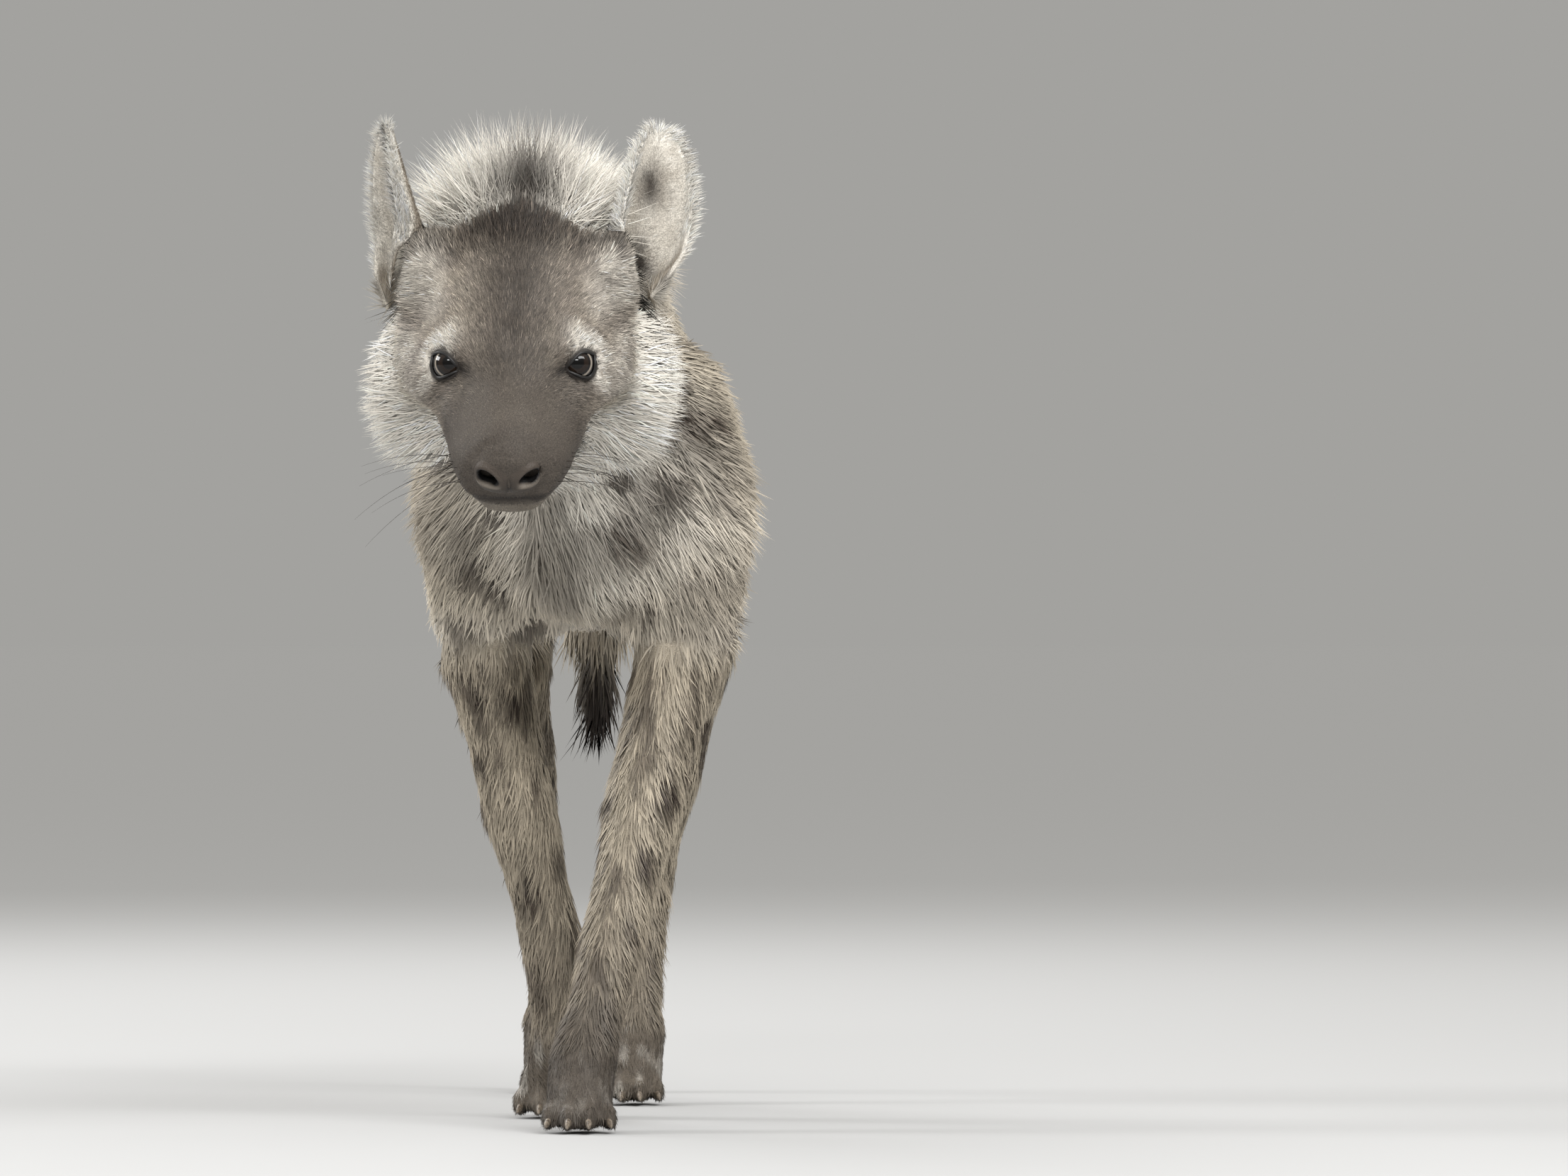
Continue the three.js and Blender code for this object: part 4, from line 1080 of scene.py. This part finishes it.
# The eyes
# Two dark balls as large as the real ones, wet and clear in front: a black pupil, a brown iris
# that fills the lids, and a dark white round it. Each looks at the viewer.
# Clear wet cornea over the colours of the eye: as smooth as water and with its small sharp lights.
eye_finish, eye_shader = new_material("wet_eye")
eye_tint = add_node(eye_finish, "VertexColor", layer_name="pelt")
feed(eye_finish, eye_shader, {"Base Color": eye_tint.outputs["Color"], "Roughness": 0.04, "IOR": 1.38})
IRIS, PUPIL, RIM_OF_IRIS, WHITE = tint("#1f1610"), tint("#040303"), tint("#070505"), tint("#8f867b")
LID_RIM = 1.3  # mm, half as thick as the edge of a lid
# Bare black skin at the lids: damp, with a grain of 0.7 mm that breaks up its soft gloss.
rim_finish, rim_shader = new_material("wet_lid_skin")
rim_place = add_node(rim_finish, "TexCoord").outputs["Object"]
rim_grain = add_node(rim_finish, "TexNoise", {"Vector": rim_place, "Scale": 1400.0})
rim_depth = {"Height": rim_grain.outputs["Fac"], "Strength": 0.2, "Distance": 0.0003}
rim_bump = add_node(rim_finish, "Bump", rim_depth)
rim_look = {"Base Color": [*linear("#0e0b09"), 1], "Roughness": 0.45}
feed(rim_finish, rim_shader, {**rim_look, "Normal": rim_bump.outputs["Normal"]})


def mesh_of_lines(name, lines, radius, resolution, thinning=0, closed=False):
    """The mesh of round lines through rows of places, which may thin out to their ends."""
    curve = bpy.data.curves.new(name, "CURVE")
    curve.dimensions = "3D"
    curve.bevel_depth = radius
    curve.bevel_resolution = resolution
    curve.use_fill_caps = not closed
    for places_along in lines:
        line = curve.splines.new("POLY")
        line.points.add(len(places_along) - 1)
        line.points.foreach_set("co", np.c_[places_along, np.ones(len(places_along))].ravel())
        line.points.foreach_set("radius", 1 - thinning * np.linspace(0, 1, len(places_along)))
        line.use_cyclic_u = closed
    drawn = bpy.data.objects.new(name + "_line", curve)
    mesh = bpy.data.meshes.new_from_object(drawn)
    mesh.name = name
    bpy.data.objects.remove(drawn)
    return mesh


for side, centre in EYE_MIDDLES.items():
    gaze, outer, upper = eye_frame(side)
    looking = unit((np.array([*camera.location]) - centre)[None])[0] * 0.75 + gaze * 0.25
    looking = unit((looking + 0.12 * upper - 0.05 * outer)[None])[0]
    ball = bmesh.new()
    bmesh.ops.create_icosphere(ball, subdivisions=6, radius=EYE_RADIUS / 1000)
    ball_mesh = bpy.data.meshes.new(f"eyeball_{side}")
    points = np.array([vertex.co for vertex in ball.verts])
    turn = np.degrees(np.arccos(np.clip(unit(points) @ looking, -1, 1)))
    bulge = 1 + 0.04 * (1 - ease(24, 48, turn))
    for vertex, grown in zip(ball.verts, bulge):
        vertex.co *= grown
    bmesh.ops.translate(ball, verts=ball.verts, vec=centre)
    ball.to_mesh(ball_mesh)
    ball.free()
    ball_mesh.shade_smooth()
    tints = mixed(IRIS, RIM_OF_IRIS, ease(36, 44, turn)[:, None])
    tints = mixed(tints, PUPIL, 1 - ease(20, 24, turn)[:, None])
    low_and_outer = ease(-0.5, 0.1, unit(points) @ (outer - upper))
    tints = mixed(tints, WHITE, (low_and_outer * ease(48, 51, turn) * ease(60, 55, turn))[:, None])
    paint(ball_mesh, tints)
    eyeball = set_up(f"eyeball_{side}", ball_mesh, eye_finish)
    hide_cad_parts(f"eye_{side}")

    # The bare dark edge of the lids, which runs round the opening and out to the tear duct.
    around = np.linspace(0, 2 * math.pi, 72, endpoint=False)
    share = np.cos(around)
    across = np.where(share > 0, OPENING["outer"], OPENING["inner"]) * share
    high = np.where(np.sin(around) > 0, OPENING["above"], -OPENING["below"])
    up = high * (1 - share**2) * (1 + 0.4 * share) + 1.5
    ahead = np.sqrt(np.maximum((EYE_RADIUS + 0.7) ** 2 - across**2 - up**2, 4))
    path = centre + (gaze * ahead[:, None] + outer * across[:, None] + upper * up[:, None]) / 1000
    edge_mesh = mesh_of_lines(f"lid_edge_{side}", [path], LID_RIM / 1000, 3, closed=True)
    edge_mesh.shade_smooth()
    set_up(f"lid_edge_{side}", edge_mesh, rim_finish)


# The nose pad
# Bare, leathery and slightly moist skin with fine pebbles, folded in at two wide nostrils.
nose_corners, nose_triangles = triangles_of(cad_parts["nose"].data)
NOSE_CELL = 0.0009
nose_sides = {"triangles": nose_triangles.astype(np.uint32)}
_, distances, first = level_set(nose_corners, nose_sides, NOSE_CELL, 4)
cell_places = (np.stack(np.indices(distances.shape), -1).reshape(-1, 3) + first) * NOSE_CELL
cells_ahead = head_place(cell_places)[:, 0].reshape(distances.shape)
distances = distances + (0.0013 * ease(113, 100, cells_ahead)).astype(np.float32)
bored = (1 - nostril_depth(cell_places)) * 0.005
distances = np.maximum(distances, bored.reshape(distances.shape).astype(np.float32))
pad_corners, pad_faces = surface_of(softened(softened(distances)), first, NOSE_CELL, 0.0)
pad_mesh = bpy.data.meshes.new("nose_pad")
pad_mesh.from_pydata(pad_corners.tolist(), [], pad_faces)
pad = bmesh.new()
pad.from_mesh(pad_mesh)
bmesh.ops.recalc_face_normals(pad, faces=pad.faces)
bmesh.ops.triangulate(pad, faces=pad.faces)
pad.to_mesh(pad_mesh)
pad.free()
pad_places, _ = triangles_of(pad_mesh)
pad_places = pad_places.astype(float)
pad_facing = facing_of(pad_mesh)
ahead, aside, above = head_place(pad_places).T
nostril = nostril_depth(pad_places)
wing = 0.8 * hump(nostril, 1.3, 0.26) * (ahead > 98)
parting = 1.6 * hump(aside, 1.5, 1.6) * ease(-30, -50, above) * (ahead > 96)
pad_places += pad_facing * ((wing - parting) / 1000)[:, None]
pad_mesh.vertices.foreach_set("co", pad_places.ravel())
pad_mesh.shade_smooth()
pad_tints = mixed(tint("#484039"), tint("#38322c"), (0.7 * ease(-34, -58, above) + 0.1)[:, None])
# Painted light: the lower rims of the nostrils, which catch the light from above, are painted paler.
painted_light_under_nostril = hump(nostril, 1.5, 0.28) * ease(-44, -49, above) * ease(5, 10, np.abs(aside - 1.5))
pad_tints = mixed(pad_tints, tint("#8c8378"), (0.55 * painted_light_under_nostril)[:, None])
dark_line = np.maximum(ease(-57, -61, above), hump(aside, 1.5, 2.2) * ease(-40, -52, above))
pad_tints = mixed(pad_tints, tint("#14110f"), (0.8 * dark_line)[:, None])
# The nostrils are painted almost black inside: painted shade in their depth.
pad_tints = mixed(pad_tints, tint("#050404"), ease(1.2, 1.06, nostril)[:, None])
paint(pad_mesh, pad_tints)
# Bare nose leather: moist, so it has a broad dull sheen that pebbles of 1.3 mm break up.
nose_finish, nose_shader = new_material("moist_nose_leather")
nose_tint = add_node(nose_finish, "VertexColor", layer_name="pelt")
nose_place = add_node(nose_finish, "TexCoord").outputs["Object"]
nose_pebbles = add_node(nose_finish, "TexVoronoi", {"Vector": nose_place, "Scale": 750.0})
nose_depth = {"Height": nose_pebbles.outputs["Distance"], "Strength": 0.45, "Distance": 0.0006}
nose_bump = add_node(nose_finish, "Bump", nose_depth)
nose_look = {"Base Color": nose_tint.outputs["Color"], "Normal": nose_bump.outputs["Normal"]}
feed(nose_finish, nose_shader, {**nose_look, "Roughness": 0.55, "Specular IOR Level": 0.3})
nose_pad = set_up("nose_pad", pad_mesh, nose_finish)
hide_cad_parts("nose")


# The claws
# Four blunt, worn claws on each foot, of dull horn that is pale where it is worn.
# Horn that the ground has worn: half dull, with layers of about 2.6 mm, dark where it is whole.
claw_finish, claw_shader = new_material("worn_horn")
claw_place = add_node(claw_finish, "TexCoord").outputs["Object"]
claw_layers = add_node(claw_finish, "TexNoise", {"Vector": claw_place, "Scale": 380.0, "Detail": 4.0})
claw_height = claw_layers.outputs["Fac"]
claw_shade = add_node(claw_finish, "ValToRGB", {"Fac": claw_height})
for stop, position, code in zip(claw_shade.color_ramp.elements, (0.35, 0.62), ("#4a4138", "#85796a")):
    stop.position = position
    stop.color = [*linear(code), 1]
claw_bump = add_node(claw_finish, "Bump", {"Height": claw_height, "Strength": 0.25, "Distance": 0.0004})
claw_look = {"Base Color": claw_shade.outputs["Color"], "Normal": claw_bump.outputs["Normal"]}
feed(claw_finish, claw_shader, {**claw_look, "Roughness": 0.45})
PAWS = [  # the middle of each paw on the floor in mm on the body, and its size
    ("fore_left", -2, -372, 1),
    ("fore_right", -31, -64, 1),
    ("hind_left", 34, 212, 0.92),
    ("hind_right", -38, 466, 0.92),
]
TOES = [(-1.5, 12, 0.92), (-0.5, 25, 1), (0.5, 25, 1), (1.5, 12, 0.92)]  # out, forward, size
for paw_name, paw_x, paw_y, scale in PAWS:
    claws = bmesh.new()
    for out, forward, size in TOES:
        made = bmesh.ops.create_uvsphere(claws, u_segments=14, v_segments=12, radius=1)["verts"]
        splay = math.radians(7 * out)
        for vertex in made:
            share = (vertex.co.z + 1) / 2
            taper = (1 - 0.5 * share) * 4.7 * size * scale
            aside_of_claw = vertex.co.x * taper * 0.74
            along_claw = share * 18 * scale - 3
            vertex.co = (
                aside_of_claw * math.cos(splay) + along_claw * math.sin(splay),
                aside_of_claw * math.sin(splay) - along_claw * math.cos(splay),
                vertex.co.y * taper - 4.5 * share**2,
            )
        middle = (paw_x + out * 16.4 * scale, paw_y - (forward + 19 * size) * scale, 9.5)
        bmesh.ops.translate(claws, verts=made, vec=middle)
    for vertex in claws.verts:
        vertex.co = (np.array(vertex.co) - EYES_AT) / 1000 + between_eyes
        vertex.co.z = max(vertex.co.z, 0.0005)
    bmesh.ops.recalc_face_normals(claws, faces=claws.faces)
    claw_mesh = bpy.data.meshes.new(f"claws_{paw_name}")
    claws.to_mesh(claw_mesh)
    claws.free()
    claw_mesh.shade_smooth()
    set_up(f"claws_{paw_name}", claw_mesh, claw_finish)


# The whiskers
# Long stiff dark hairs that grow from the sides of the upper lip and droop under their own weight.
# Stiff smooth hair, glossier than the coat, that lightens and darkens every 11 mm or so.
whisker_finish, whisker_shader = new_material("whisker_hair")
whisker_place = add_node(whisker_finish, "TexCoord").outputs["Object"]
whisker_fade = add_node(whisker_finish, "TexNoise", {"Vector": whisker_place, "Scale": 90.0})
whisker_shade = add_node(whisker_finish, "ValToRGB", {"Fac": whisker_fade.outputs["Fac"]})
for stop, code in zip(whisker_shade.color_ramp.elements, ("#17130f", "#3a322a")):
    stop.color = [*linear(code), 1]
feed(whisker_finish, whisker_shader, {"Base Color": whisker_shade.outputs["Color"], "Roughness": 0.35})
WHISKERS_A_SIDE, WHISKER_RADIUS, THINNING = 9, 0.00042, 0.85  # metres, and the share lost by the tip
for side, sign in (("left", 1), ("right", -1)):
    whiskers = []
    for number_of_whisker in range(WHISKERS_A_SIDE):
        row, place = divmod(number_of_whisker, 3)
        root = np.array([86 - 13 * place, sign * (31 + 1.5 * place), -50 - 6 * row])
        reach = rng.uniform(55, 105)
        heading = unit(np.array([[rng.uniform(0, 0.5), sign, rng.uniform(-0.1, 0.45)]]))[0]
        shares_along = np.linspace(0, 1, 14)
        in_head = root + heading * (shares_along * reach)[:, None]
        line_points = in_head @ HEAD_AXES / 1000 + between_eyes
        line_points[:, 2] -= rng.uniform(0.2, 0.45) * reach / 1000 * shares_along**2
        whiskers.append(line_points)
    whisker_mesh = mesh_of_lines(f"whiskers_{side}", whiskers, WHISKER_RADIUS, 1, thinning=THINNING)
    set_up(f"whiskers_{side}", whisker_mesh, whisker_finish)
